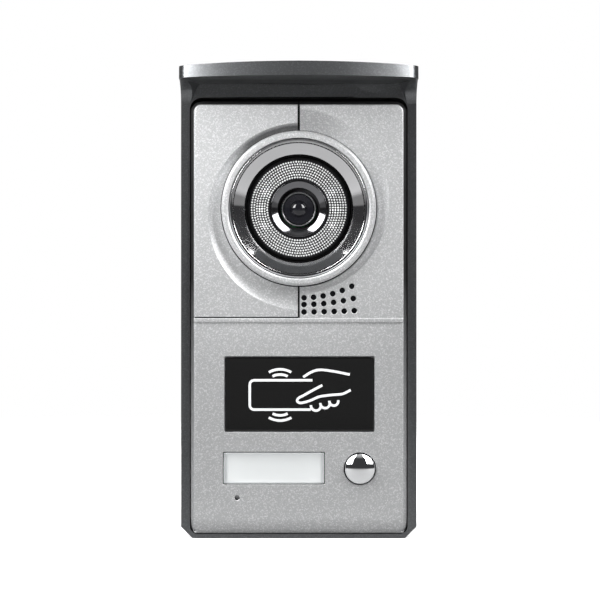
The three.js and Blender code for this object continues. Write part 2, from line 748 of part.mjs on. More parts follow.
function cameraCradle() {
  const tube = turned([[7.5, 9.9], [9.2, 9.9], [9.2, 15], [7.5, 15]], 24);
  const { pivotZ } = camera;
  const pins = [-1, 1].map((side) => {
    const pin = new THREE.CylinderGeometry(1.3, 1.3, 6.4, 12).rotateZ(HALF_TURN / 2);
    return pin.translate(side * 11.7, 0, pivotZ);
  });
  const shoulders = [-1, 1].map((side) => box(
    Math.min(side * 8.4, side * 12), Math.max(side * 8.4, side * 12), -2.6, 2.6, 9.9, 13.6,
  ));
  const base = box(-12, 12, -12, 12, 9.1, 10.4);
  const bore = rod(7.5, 8, 16, 0, 0, 24);
  return cut(join(tube, ...shoulders, ...pins, base), bore);
}

addPart('camera_bracket', cameraBracket(), finishes.steel, cameraGroup);
addPart('camera_cradle', cameraCradle(), finishes.blackPlastic, cameraGroup);
addPart('sensor_board', box(-11.5, 11.5, -11.5, 11.5, 7.6, 8.8), finishes.circuitBoard, cameraGroup);

addPart('lens_barrel', turned([
  [0, 9.2], [6.2, 9.2], [6.2, 10], [7.1, 10], [7.1, 19.6], [6.6, 20.4], [6, 20.4], [5.6, 19.4], [0, 19.4],
], 24), finishes.blackGloss, cameraGroup);

function lensDome() {
  const { radius, back, edge, rise } = { radius: 5.4, back: 19.8, edge: 20.1, rise: 1.3 };
  return turned([[0, back], [radius, back], ...domeProfile(radius, edge, rise)], 24);
}

addPart('front_lens', lensDome(), finishes.lensGlass, cameraGroup);

// ---------------------------------------------------------------- loudspeaker

const speakerGroup = groupAt(speaker.x, speaker.y);

addPart('speaker_basket', turned([
  [8.6, 17.2], [9.2, 16.2], [13.4, 19.6], [14, 19.6], [14, 22.6], [12.4, 22.6], [12.4, 20.6],
], 24), finishes.steel, speakerGroup);

addPart('speaker_magnet', turned([
  [0, 14.2], [6.6, 14.2], [6.6, 17.2], [0, 17.2],
], 24), finishes.steel, speakerGroup);

addPart('speaker_cone', turned([
  [0, 17.8], [3, 17.8], [7.6, 18.6], [11.9, 21.8], [11.9, 22.4], [7.2, 19.2], [3.4, 18.6], [0, 19.6],
], 24), finishes.coneFabric, speakerGroup);

function dustScreen() {
  const shape = new THREE.Shape();
  shape.moveTo(0.6, -6);
  shape.lineTo(24.4, -6);
  shape.lineTo(24.4, 13);
  shape.absarc(0, camera.y, 33.6, radians(-46.5), radians(-89), true);
  return plate(shape, 23.5, 24.1, 8);
}

addPart('speaker_dust_screen', dustScreen(), finishes.coneFabric);

// ---------------------------------------------------------------- reader window and antenna

addPart('reader_window', box(
  reader.x - reader.width / 2, reader.x + reader.width / 2,
  reader.y - reader.height / 2, reader.y + reader.height / 2,
  panel.front - reader.thickness, panel.front,
), finishes.blackGloss);

addPart('reader_antenna_board', box(
  reader.x - 29, reader.x + 29, reader.y - 14, reader.y + 14, 22.9, 24,
), finishes.circuitBoard);

// ---------------------------------------------------------------- name plate

const labelGroup = groupAt(label.x, label.y);

function labelCover() {
  const { width, height, paneBack, legHalf } = label;
  const pane = box(-width / 2, width / 2, -height / 2, height / 2, paneBack, panel.front + 0.1);
  const legs = [-width / 2, width / 2 - 1].map((x) => box(x, x + 1, -legHalf, legHalf, 20.8, paneBack + GAP));
  return join(pane, ...legs);
}

addPart('label_cover', labelCover(), finishes.clearPlastic, labelGroup);
addPart('label_card', box(-18.9, 18.9, -5.9, 5.9, 25, 25.4), finishes.card, labelGroup);

function labelLightGuide() {
  const body = box(-18.9, 18.9, -6, 6, 21.4, 24.7);
  const flange = box(-18.9, 18.9, -7, 8.6, 22, 24.1);
  const notch = box(-14.3, 14.3, -4.25, 4.25, 24.2, 25);
  return cut(join(body, flange), notch);
}

addPart('label_light_guide', labelLightGuide(), finishes.frostedPlastic, labelGroup);

// ---------------------------------------------------------------- call button and its switch

const buttonGroup = groupAt(button.x, button.y);

function buttonCap() {
  const { capRadius, edge, rise } = button;
  return turned([
    [0, 17.6], [2, 17.6], [2, 22.9], [7.8, 22.9], [7.8, 24.1], [capRadius, 24.1],
    ...domeProfile(capRadius, edge, rise),
  ], 28);
}

addPart('button_cap', buttonCap(), finishes.chrome, buttonGroup);

addPart('button_guide', turned([
  [2.4, 16.9], [10.4, 16.9], [10.4, 24.1], [8.2, 24.1], [8.2, 18.1], [2.4, 18.1],
], 24), finishes.blackPlastic, buttonGroup);

function buttonSpring() {
  const wire = 0.35;
  const coilRadius = 5;
  const turns = 3.5;
  const bottom = 18.4 + wire;
  const top = 22.6 - wire;
  const steps = 40;
  const centres = Array.from({ length: steps + 1 }, (_, i) => {
    const angle = (i / steps) * turns * HALF_TURN * 2;
    return { angle, z: bottom + ((top - bottom) * i) / steps };
  });
  // each section is a small pentagon in the plane that holds the spring's axis
  const sections = centres.map(({ angle, z }) => Array.from({ length: 5 }, (_, j) => {
    const round = (j * HALF_TURN) / 2.5;
    const radius = coilRadius + wire * Math.cos(round);
    return new THREE.Vector3(radius * Math.cos(angle), radius * Math.sin(angle), z + wire * Math.sin(round));
  }));
  return loft(sections);
}

addPart('button_spring', buttonSpring(), finishes.steel, buttonGroup);

function switchBody() {
  const well = rod(2, 14.4, 17, 0, 0, 16);
  return cut(box(-3.1, 3.1, -3.1, 3.1, board.front + GAP, 16.2), well);
}

addPart('switch_body', switchBody(), finishes.blackPlastic, buttonGroup);
addPart('switch_plunger', rod(1.7, 15.4, 17.3, 0, 0, 16), finishes.frostedPlastic, buttonGroup);

// ---------------------------------------------------------------- microphone

const microphoneGroup = groupAt(microphone.x, microphone.y);

addPart('microphone_boot', turned([
  [3.4, 18.6], [4.6, 18.6], [4.6, 24.1], [1.2, 24.1], [1.2, 23.3], [3.4, 23.3],
], 20), finishes.rubber, microphoneGroup);
addPart('microphone_capsule', rod(3, 19, 23, 0, 0, 20), finishes.steel, microphoneGroup);

// ---------------------------------------------------------------- main board and what is on it

function mainBoard() {
  const blank = box(board.left, board.right, board.bottom, board.top, board.back, board.front);
  const holes = boardScrewPlaces().map(([x, y]) => rod(1.5, board.back - 1, board.front + 1, x, y, 12));
  return cut(blank, ...holes);
}

addPart('main_board', mainBoard(), finishes.circuitBoard);

boardScrewPlaces().forEach(([x, y], i) => {
  const top = board.front + GAP;
  const profile = [[0, 8.6], [1, 8.6], [1, top], [2.3, top], [2.3, top + 1.5], [0, top + 1.5]];
  const screw = turned(profile, 10, x, y);
  addPart(`board_screw_${i + 1}`, screw, finishes.steel);
});

const terminal = { y: -38, ways: 4, pitch: 5.08, back: 5.2, front: 11.7 };

function terminalPlaces() {
  const middle = (terminal.ways - 1) / 2;
  return Array.from({ length: terminal.ways }, (_, i) => (i - middle) * terminal.pitch);
}

function terminalBlock() {
  const { y, ways, pitch, back, front } = terminal;
  const half = (ways * pitch) / 2;
  const body = box(-half, half, y - 4, y + 4, back, front);
  const well = (x) => rod(1.9, back - 1, back + 3, x, y + 1, 12);
  const wireHole = (x) => box(x - 1.4, x + 1.4, y - 5, y - 1.2, back + 3.4, back + 5.6);
  return cut(body, ...terminalPlaces().map(well), ...terminalPlaces().map(wireHole));
}

addPart('terminal_block', terminalBlock(), finishes.terminalGreen);

terminalPlaces().forEach((x, i) => {
  const screw = rod(1.6, terminal.back + 0.8, terminal.back + 2.7, x, terminal.y + 1, 12);
  addPart(`terminal_screw_${i + 1}`, screw, finishes.steel);
});

const componentBase = board.front + GAP;

addPart('door_relay', box(-34, -19, -42, -23, componentBase, componentBase + 8), finishes.relayBlue);
addPart('power_capacitor', rod(4, componentBase, componentBase + 8, -27, -54, 20), finishes.blackPlastic);
addPart('video_processor', box(2, 14, -46, -34, componentBase, componentBase + 1.4), finishes.blackPlastic);

// ---------------------------------------------------------------- stand the drawing up

const intercom = new THREE.Group();
assembly.rotation.x = HALF_TURN / 2;
intercom.add(assembly);

export default intercom;
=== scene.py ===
"""The looks of a door intercom panel in its rain hood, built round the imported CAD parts.

Pieces are worked out in millimetres as seen from the front: x to the right, y up and z out from the wall.
place() stands them up in the frame of the CAD parts, in metres.
"""

import bmesh
import bpy
import numpy as np
from mathutils import Matrix, Vector
from mathutils.geometry import delaunay_2d_cdt


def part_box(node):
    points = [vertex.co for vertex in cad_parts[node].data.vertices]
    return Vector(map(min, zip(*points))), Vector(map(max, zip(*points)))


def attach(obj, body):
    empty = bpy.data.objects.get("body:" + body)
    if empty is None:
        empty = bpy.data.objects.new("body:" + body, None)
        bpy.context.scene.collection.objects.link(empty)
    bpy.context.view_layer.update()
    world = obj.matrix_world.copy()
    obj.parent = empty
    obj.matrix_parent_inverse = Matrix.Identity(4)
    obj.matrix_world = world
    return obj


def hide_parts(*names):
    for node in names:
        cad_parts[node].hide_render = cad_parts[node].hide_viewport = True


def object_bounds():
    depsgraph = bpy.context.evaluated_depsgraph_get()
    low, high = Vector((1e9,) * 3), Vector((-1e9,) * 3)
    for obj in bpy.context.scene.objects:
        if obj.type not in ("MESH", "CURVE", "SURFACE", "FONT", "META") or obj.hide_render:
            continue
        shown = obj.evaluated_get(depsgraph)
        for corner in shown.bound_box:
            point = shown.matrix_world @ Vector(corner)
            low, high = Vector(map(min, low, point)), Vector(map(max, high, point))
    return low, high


bl_info = {
    "name": "Door Intercom Panel",
    "version": (1, 0, 0),
    "blender": (4, 5, 0),
    "location": "View3D > Sidebar > Intercom",
    "description": "Builds the visible pieces, finishes and stage of a door intercom panel",
    "category": "Object",
}

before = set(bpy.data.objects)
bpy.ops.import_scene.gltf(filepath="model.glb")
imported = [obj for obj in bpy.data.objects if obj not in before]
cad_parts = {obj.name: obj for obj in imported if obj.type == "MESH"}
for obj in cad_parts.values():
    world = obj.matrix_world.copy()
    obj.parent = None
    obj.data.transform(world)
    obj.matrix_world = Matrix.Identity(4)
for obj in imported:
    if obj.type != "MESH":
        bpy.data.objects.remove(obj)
CAD_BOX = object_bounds()

MM = 0.001
TURN = 2 * np.pi
SMOOTH_ANGLE = np.radians(38)

# ---------------------------------------------------------------- measuring the frame


def face_box(node):
    """The lowest and highest corner of a CAD node in millimetres: right, up and out from the wall."""
    low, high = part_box(node)
    return np.array([low.x, low.z, -high.y]) / MM, np.array([high.x, high.z, -low.y]) / MM


def face_centre(node):
    """The middle of a CAD node as seen from the front, in millimetres."""
    low, high = face_box(node)
    return (low[:2] + high[:2]) / 2


# ---------------------------------------------------------------- mesh helpers


def place(points):
    """Points in millimetres (right, up, out) as points of the CAD frame in metres: (x, -z, y) / 1000."""
    return np.column_stack([points[:, 0], -points[:, 2], points[:, 1]]) * MM


def grid_faces(rows, columns, wrap_rows=False, wrap_columns=False):
    """Quads of a rows x columns grid of points numbered row by row, joined up at the ends if wrapped."""
    i = np.arange(rows if wrap_rows else rows - 1)
    j = np.arange(columns if wrap_columns else columns - 1)
    i, j = (part.ravel() for part in np.meshgrid(i, j, indexing="ij"))
    i_next, j_next = (i + 1) % rows, (j + 1) % columns
    return np.column_stack([
        i * columns + j, i * columns + j_next, i_next * columns + j_next, i_next * columns + j,
    ])


def new_piece(name, points, faces, body, material, slot_name, nodes=(), weld=False):
    """A mesh object from points in millimetres, riding on a CAD body and standing for the CAD nodes
    named."""
    mesh = bpy.data.meshes.new(name)
    mesh.from_pydata(place(np.asarray(points, float)), [], [np.asarray(f).tolist() for f in faces])
    finish_mesh(mesh, weld)
    return put_on(name, mesh, body, material, nodes)


def finish_mesh(mesh, weld):
    """Closes seams and poles if weld is set, points faces outwards and smooths all but the sharp edges."""
    shape = bmesh.new()
    shape.from_mesh(mesh)
    if weld:
        bmesh.ops.remove_doubles(shape, verts=shape.verts, dist=1e-7)
    if shape.calc_volume(signed=True) < 0:
        bmesh.ops.reverse_faces(shape, faces=shape.faces)
    shape.to_mesh(mesh)
    shape.free()
    mesh.polygons.foreach_set("use_smooth", np.ones(len(mesh.polygons), bool))
    mesh.set_sharp_from_angle(angle=SMOOTH_ANGLE)
    mesh.update()


def put_on(name, mesh, body, material, nodes):
    """A mesh as a piece with its material, its body and the CAD nodes it stands for."""
    piece = bpy.data.objects.new(name, mesh)
    bpy.context.scene.collection.objects.link(piece)
    piece.data.materials.append(material)
    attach(piece, body)
    if nodes:
        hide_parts(*nodes)
    return piece


def mesh_points(mesh):
    """The points of a mesh as rows of x, y and z."""
    points = np.empty(len(mesh.vertices) * 3, np.float32)
    mesh.vertices.foreach_get("co", points)
    return points.reshape(-1, 3)


def give_values(piece, name, values):
    """A named number for each point of a piece, for its material to read."""
    layer = piece.data.attributes.new(name, "FLOAT", "POINT")
    layer.data.foreach_set("value", values.astype(np.float32))


def joined(parts):
    """Several (points, faces) as one, the faces of each counted on from the points before it."""
    points, faces, count = [], [], 0
    for part_points, part_faces in parts:
        points.append(part_points)
        faces.extend(np.asarray(f) + count for f in part_faces)
        count += len(part_points)
    return np.concatenate(points), faces


def rounded(profile, radius, steps=4):
    """A closed profile whose corners are arcs that touch both sides, cut back where a side is short."""
    profile = np.asarray(profile, float)
    radius = np.broadcast_to(radius, len(profile))
    points = []
    for corner, before, after, wanted in zip(
        profile, np.roll(profile, 1, 0), np.roll(profile, -1, 0), radius
    ):
        back, ahead = before - corner, after - corner
        back_length, ahead_length = np.hypot(*back), np.hypot(*ahead)
        back, ahead = back / back_length, ahead / ahead_length
        half = np.arccos(np.clip(back @ ahead, -1, 1)) / 2
        reach = min(wanted / np.tan(half), 0.45 * back_length, 0.45 * ahead_length) if wanted else 0
        if reach < 1e-6 or half > np.pi / 2 - 0.02:
            points.append(corner[None])
            continue
        middle = corner + (back + ahead) / np.hypot(*(back + ahead)) * reach / np.cos(half)
        start, end = corner + back * reach - middle, corner + ahead * reach - middle
        turn = np.arctan2(start[0] * end[1] - start[1] * end[0], start @ end)
        angle = np.linspace(0, turn, steps + 1)[:, None]
        side = np.array([-start[1], start[0]])
        points.append(middle + start * np.cos(angle) + side * np.sin(angle))
    return np.concatenate(points)


def turned(profile, centre, steps=144):
    """A turned piece: the closed (radius, z) profile carried round the axis through centre,
    (x, y, z) = (centre_x + radius cos a, centre_y + radius sin a, z)."""
    angle = np.arange(steps) * TURN / steps
    radius, height = np.asarray(profile, float).T[:, :, None]
    x = centre[0] + radius * np.cos(angle)
    y = centre[1] + radius * np.sin(angle)
    points = np.stack([x, y, np.broadcast_to(height, x.shape)], -1).reshape(-1, 3)
    return points, grid_faces(len(profile), steps, True, True)


def dome_profile(radius, edge_z, top_z, steps=16):
    """A round top as (radius, z) from its edge to the axis, an arc of the ball through edge and top."""
    rise = top_z - edge_z
    ball = (radius ** 2 + rise ** 2) / (2 * rise)
    angle = np.linspace(np.arcsin(radius / ball), 0, steps)
    return np.column_stack([ball * np.sin(angle), top_z - ball + ball * np.cos(angle)])


def rounded_outline(low, high, top_radius, low_radius, inset=0.0, step=2.5, corner_steps=9):
    """A rounded rectangle moved inwards by inset, as points round it anticlockwise."""
    points = []
    x0, y0, x1, y1 = low[0] + inset, low[1] + inset, high[0] - inset, high[1] - inset
    for corner_x, corner_y, quarter, full in (
        (x1, y0, 3, low_radius), (x1, y1, 0, top_radius), (x0, y1, 1, top_radius), (x0, y0, 2, low_radius),
    ):
        radius = max(full - inset, 0.02)
        centre_x = corner_x - radius if corner_x == x1 else corner_x + radius
        centre_y = corner_y - radius if corner_y == y1 else corner_y + radius
        angle = quarter * np.pi / 2 + np.linspace(0, np.pi / 2, corner_steps)
        points.append(np.column_stack([
            centre_x + radius * np.cos(angle), centre_y + radius * np.sin(angle),
        ]))
    corners = np.concatenate(points)
    return subdivided(corners, step)


def subdivided(points, step, closed=True):
    """Points of a line with more put in evenly where two are further apart than step."""
    ends = np.roll(points, -1, 0) if closed else points[1:]
    starts = points if closed else points[:-1]
    pieces = []
    for start, end in zip(starts, ends):
        count = max(1, int(np.ceil(np.hypot(*(end - start)) / step)))
        pieces.append(start + (end - start) * (np.arange(count) / count)[:, None])
    if not closed:
        pieces.append(points[-1:])
    return np.concatenate(pieces)


def circle(centre, radius, steps):
    """Points round a circle: centre + radius (cos, sin)."""
    angle = np.arange(steps) * TURN / steps
    return np.column_stack([centre[0] + radius * np.cos(angle), centre[1] + radius * np.sin(angle)])


def inside_depth(x, y, low, high, top_radius, low_radius):
    """How far a point lies inside a rounded rectangle: the radius less its distance from the inner box
    that the corners' centres span, counting the nearer side where it is within that box."""
    centre_x, centre_y = (low[0] + high[0]) / 2, (low[1] + high[1]) / 2
    radius = np.where(y > centre_y, top_radius, low_radius)
    across = np.abs(x - centre_x) - ((high[0] - low[0]) / 2 - radius)
    along = np.abs(y - centre_y) - ((high[1] - low[1]) / 2 - radius)
    beyond = np.hypot(np.maximum(across, 0), np.maximum(along, 0))
    return radius - beyond - np.minimum(np.maximum(across, along), 0)


def edge_drop(distance, radius):
    """How far a rounded edge of radius r has fallen at a distance d from its wall:
    r - sqrt(r^2 - (r - d)^2)."""
    left = np.clip(radius - distance, 0, radius)
    return radius - np.sqrt(np.maximum(radius ** 2 - left ** 2, 0))


def rim_drop(depth):
    """Fall of the sloping rim at a depth inside the outline: a straight slope, and an arc of the rim's
    radius r that joins it to the flat front, r - sqrt(r^2 - u^2) at u in from where the arc starts."""
    run, fall = BEVEL
    into_arc = run + rim_reach() - depth
    arc = RIM_RADIUS - np.sqrt(np.maximum(RIM_RADIUS ** 2 - np.clip(into_arc, 0, RIM_RADIUS) ** 2, 0))
    on_slope = into_arc > RIM_RADIUS * np.sin(rim_angle())
    return np.where(on_slope, fall * (1 - depth / run), arc)


def rim_angle():
    """The angle between the flat front and the rim's slope."""
    return np.arctan2(BEVEL[1], BEVEL[0])


def rim_reach():
    """How far the rim's arc starts inside the corner between front and slope."""
    return RIM_RADIUS * np.tan(rim_angle() / 2)


def rim_insets():
    """Depths inside the outline at which the rim gets a ring of points."""
    arc = RIM_RADIUS * np.sin(np.linspace(0, 1, 6) * rim_angle())
    slope = (0, BEVEL[0] - 0.4, BEVEL[0] - 0.3)
    return [*slope, *(BEVEL[0] + rim_reach() - arc), PANEL_BACK_WALL + 0.02, PANEL_BACK_WALL + 0.35]


def edge_rings(radius, steps=4):
    """Distances from a wall at which a rounded edge gets a ring of points, with one more to hold the
    flat."""
    return [*(radius * (1 - np.cos(np.linspace(0, np.pi / 2, steps + 1)))), radius * 1.6]


def triangulated(loops, lines):
    """Points and triangles of a flat net that follows every closed loop and open line."""
    points, edges, count = [], [], 0
    for path, closed in [*((loop, True) for loop in loops), *((line, False) for line in lines)]:
        index = np.arange(len(path)) + count
        ends = np.roll(index, -1) if closed else index[1:]
        edges.append(np.column_stack([index if closed else index[:-1], ends]))
        points.append(path)
        count += len(path)
    flat = [Vector(p) for p in np.concatenate(points).tolist()]
    found = delaunay_2d_cdt(flat, np.concatenate(edges).tolist(), [], 0, 1e-5, False)
    return np.array([v[:] for v in found[0]], float), np.array(found[2], int)


def closed_plate(flat, triangles, front, back):
    """A closed plate over a flat net: its points at the front heights and again at the back heights, the
    triangles on both, and a wall along each edge that only one triangle has."""
    count = len(flat)
    points = np.concatenate([np.column_stack([flat, front]), np.column_stack([flat, back])])
    edges = np.concatenate([triangles[:, [0, 1]], triangles[:, [1, 2]], triangles[:, [2, 0]]])
    key = np.sort(edges, 1) @ np.array([count, 1])
    _, first, seen = np.unique(key, return_index=True, return_counts=True)
    a, b = edges[first[seen == 1]].T
    walls = np.column_stack([b, a, a + count, b + count])
    return points, [*triangles, *(triangles[:, ::-1] + count), *walls]


# ---------------------------------------------------------------- node helpers


def add_node(nodes, kind, **values):
    """A shader node with the values given to its sockets, or to itself where it has no such socket."""
    node = nodes.new(kind)
    for key, value in values.items():
        if key in node.inputs:
            node.inputs[key].default_value = value
        else:
            setattr(node, key, value)
    return node


def new_group(name, inputs, outputs):
    """An empty shader group with its named inputs and outputs, given as (name, type, default)."""
    group = bpy.data.node_groups.new(name, "ShaderNodeTree")
    for label, kind, default in inputs:
        socket = group.interface.new_socket(label, in_out="INPUT", socket_type=kind)
        socket.default_value = default
    for label, kind in outputs:
        group.interface.new_socket(label, in_out="OUTPUT", socket_type=kind)
    return group, group.nodes.new("NodeGroupInput"), group.nodes.new("NodeGroupOutput")


FLOAT, COLOUR, VECTOR = "NodeSocketFloat", "NodeSocketColor", "NodeSocketVector"


def flaked_paint_group():
    """Sprayed paint with fine metal flakes: each cell of a fine mosaic gets its own brightness, a slow
    cloud shifts the tone, and the cells and the cloud make the surface uneven."""
    group, given, result = new_group(
        "Flaked Paint",
        [("Colour", COLOUR, (0.5, 0.5, 0.5, 1)), ("Flake Colour", COLOUR, (1, 1, 1, 1)),
         ("Flakes", FLOAT, 0.3), ("Flake Size", FLOAT, 0.3), ("Roughness", FLOAT, 0.4),
         ("Relief", FLOAT, 0.1)],
        [("Colour", COLOUR), ("Roughness", FLOAT), ("Normal", VECTOR)],
    )
    nodes, link = group.nodes, group.links.new
    place_node = nodes.new("ShaderNodeTexCoord")
    scale = add_node(nodes, "ShaderNodeMath", operation="DIVIDE")
    scale.inputs[0].default_value = 1 / MM
    link(given.outputs["Flake Size"], scale.inputs[1])
    cells = add_node(nodes, "ShaderNodeTexVoronoi", feature="F1")
    link(place_node.outputs["Object"], cells.inputs["Vector"])
    link(scale.outputs[0], cells.inputs["Scale"])
    pick = nodes.new("ShaderNodeSeparateColor")
    link(cells.outputs["Color"], pick.inputs[0])
    bright = add_node(nodes, "ShaderNodeMapRange", interpolation_type="SMOOTHSTEP")
    bright.inputs["From Min"].default_value = 0.55
    link(pick.outputs[0], bright.inputs["Value"])
    amount = add_node(nodes, "ShaderNodeMath", operation="MULTIPLY")
    link(bright.outputs[0], amount.inputs[0])
    link(given.outputs["Flakes"], amount.inputs[1])
    cloud = add_node(nodes, "ShaderNodeTexNoise", Scale=35.0, Detail=4.0, Roughness=0.55)
    link(place_node.outputs["Object"], cloud.inputs["Vector"])
    tone = nodes.new("ShaderNodeMapRange")
    for label, value in (("From Min", 0.3), ("From Max", 0.7), ("To Min", 0.97), ("To Max", 1.02)):
        tone.inputs[label].default_value = value
    link(cloud.outputs["Fac"], tone.inputs["Value"])
    toned = add_node(nodes, "ShaderNodeVectorMath", operation="SCALE")
    link(given.outputs["Colour"], toned.inputs[0])
    link(tone.outputs[0], toned.inputs["Scale"])
    mixed = add_node(nodes, "ShaderNodeMix", data_type="RGBA")
    link(amount.outputs[0], mixed.inputs["Factor"])
    link(toned.outputs[0], mixed.inputs["A"])
    link(given.outputs["Flake Colour"], mixed.inputs["B"])
    link(mixed.outputs["Result"], result.inputs["Colour"])
    uneven = nodes.new("ShaderNodeMapRange")
    for label, value in (("From Min", 0.3), ("From Max", 0.7), ("To Min", -0.012), ("To Max", 0.015)):
        uneven.inputs[label].default_value = value
    link(cloud.outputs["Fac"], uneven.inputs["Value"])
    rough = add_node(nodes, "ShaderNodeMath", operation="ADD", use_clamp=True)
    link(given.outputs["Roughness"], rough.inputs[0])
    link(uneven.outputs[0], rough.inputs[1])
    link(rough.outputs[0], result.inputs["Roughness"])
    bump = add_node(nodes, "ShaderNodeBump", Distance=0.0001)
    link(given.outputs["Relief"], bump.inputs["Strength"])
    link(pick.outputs[1], bump.inputs["Height"])
    link(bump.outputs[0], result.inputs["Normal"])
    return group


def handled_gloss_group():
    """A polished surface that has been handled: a slow cloud of faint smears raises the roughness, and
    fine dust specks lift it further; a very fine noise gives the relief."""
    group, given, result = new_group(
        "Handled Gloss",
        [("Colour", COLOUR, (0.5, 0.5, 0.5, 1)), ("Roughness", FLOAT, 0.1), ("Smears", FLOAT, 0.05),
         ("Dust", FLOAT, 0.02), ("Relief", FLOAT, 0.02)],
        [("Colour", COLOUR), ("Roughness", FLOAT), ("Normal", VECTOR)],
    )
    nodes, link = group.nodes, group.links.new
    place_node = nodes.new("ShaderNodeTexCoord")
    smear = add_node(nodes, "ShaderNodeTexNoise", Scale=60.0, Detail=5.0, Roughness=0.6, Distortion=0.6)
    link(place_node.outputs["Object"], smear.inputs["Vector"])
    smear_mask = add_node(nodes, "ShaderNodeMapRange", interpolation_type="SMOOTHSTEP")
    smear_mask.inputs["From Min"].default_value = 0.45
    smear_mask.inputs["From Max"].default_value = 0.75
    link(smear.outputs["Fac"], smear_mask.inputs["Value"])
    smear_amount = add_node(nodes, "ShaderNodeMath", operation="MULTIPLY")
    link(smear_mask.outputs[0], smear_amount.inputs[0])
    link(given.outputs["Smears"], smear_amount.inputs[1])
    specks = add_node(nodes, "ShaderNodeTexNoise", Scale=2600.0, Detail=1.0)
    link(place_node.outputs["Object"], specks.inputs["Vector"])
    speck_mask = nodes.new("ShaderNodeMapRange")
    speck_mask.inputs["From Min"].default_value = 0.68
    speck_mask.inputs["From Max"].default_value = 0.8
    link(specks.outputs["Fac"], speck_mask.inputs["Value"])
    dust = add_node(nodes, "ShaderNodeMath", operation="MULTIPLY")
    link(speck_mask.outputs[0], dust.inputs[0])
    link(given.outputs["Dust"], dust.inputs[1])
    mixed = add_node(nodes, "ShaderNodeMix", data_type="RGBA")
    mixed.inputs["B"].default_value = (0.6, 0.6, 0.58, 1)
    link(dust.outputs[0], mixed.inputs["Factor"])
    link(given.outputs["Colour"], mixed.inputs["A"])
    link(mixed.outputs["Result"], result.inputs["Colour"])
    total = add_node(nodes, "ShaderNodeMath", operation="ADD")
    link(smear_amount.outputs[0], total.inputs[0])
    link(dust.outputs[0], total.inputs[1])
    rough = add_node(nodes, "ShaderNodeMath", operation="ADD", use_clamp=True)
    link(given.outputs["Roughness"], rough.inputs[0])
    link(total.outputs[0], rough.inputs[1])
    link(rough.outputs[0], result.inputs["Roughness"])
    fine = add_node(nodes, "ShaderNodeTexNoise", Scale=900.0, Detail=2.0)
    link(place_node.outputs["Object"], fine.inputs["Vector"])
    bump = add_node(nodes, "ShaderNodeBump", Distance=0.00002)
    link(given.outputs["Relief"], bump.inputs["Strength"])
    link(fine.outputs["Fac"], bump.inputs["Height"])
    link(bump.outputs[0], result.inputs["Normal"])
    return group


def moulded_grain_group():
    """A moulded or cast surface: a fine grain of rounded cells, with a slow change of tone and polish."""
    group, given, result = new_group(
        "Moulded Grain",
        [("Colour", COLOUR, (0.5, 0.5, 0.5, 1)), ("Roughness", FLOAT, 0.5), ("Grain Size", FLOAT, 0.4),
         ("Relief", FLOAT, 0.3), ("Variation", FLOAT, 0.12)],
        [("Colour", COLOUR), ("Roughness", FLOAT), ("Normal", VECTOR)],
    )
    nodes, link = group.nodes, group.links.new
    place_node = nodes.new("ShaderNodeTexCoord")
    scale = add_node(nodes, "ShaderNodeMath", operation="DIVIDE")
    scale.inputs[0].default_value = 1 / MM
    link(given.outputs["Grain Size"], scale.inputs[1])
    grain = add_node(nodes, "ShaderNodeTexNoise", Detail=3.0, Roughness=0.6)
    link(place_node.outputs["Object"], grain.inputs["Vector"])
    link(scale.outputs[0], grain.inputs["Scale"])
    cloud = add_node(nodes, "ShaderNodeTexNoise", Scale=90.0, Detail=3.0)
    link(place_node.outputs["Object"], cloud.inputs["Vector"])
    both = add_node(nodes, "ShaderNodeMath", operation="ADD")
    link(grain.outputs["Fac"], both.inputs[0])
    link(cloud.outputs["Fac"], both.inputs[1])
    centred = add_node(nodes, "ShaderNodeMath", operation="SUBTRACT")
    centred.inputs[1].default_value = 1.0
    link(both.outputs[0], centred.inputs[0])
    change = add_node(nodes, "ShaderNodeMath", operation="MULTIPLY")
    link(centred.outputs[0], change.inputs[0])
    link(given.outputs["Variation"], change.inputs[1])
    factor = add_node(nodes, "ShaderNodeMath", operation="ADD")
    factor.inputs[1].default_value = 1.0
    link(change.outputs[0], factor.inputs[0])
    toned = add_node(nodes, "ShaderNodeVectorMath", operation="SCALE")
    link(given.outputs["Colour"], toned.inputs[0])
    link(factor.outputs[0], toned.inputs["Scale"])
    link(toned.outputs[0], result.inputs["Colour"])
    rough = add_node(nodes, "ShaderNodeMath", operation="ADD", use_clamp=True)
    link(given.outputs["Roughness"], rough.inputs[0])
    link(change.outputs[0], rough.inputs[1])
    link(rough.outputs[0], result.inputs["Roughness"])
    bump = add_node(nodes, "ShaderNodeBump", Distance=0.00008)
    link(given.outputs["Relief"], bump.inputs["Strength"])
    link(grain.outputs["Fac"], bump.inputs["Height"])
    link(bump.outputs[0], result.inputs["Normal"])
    return group


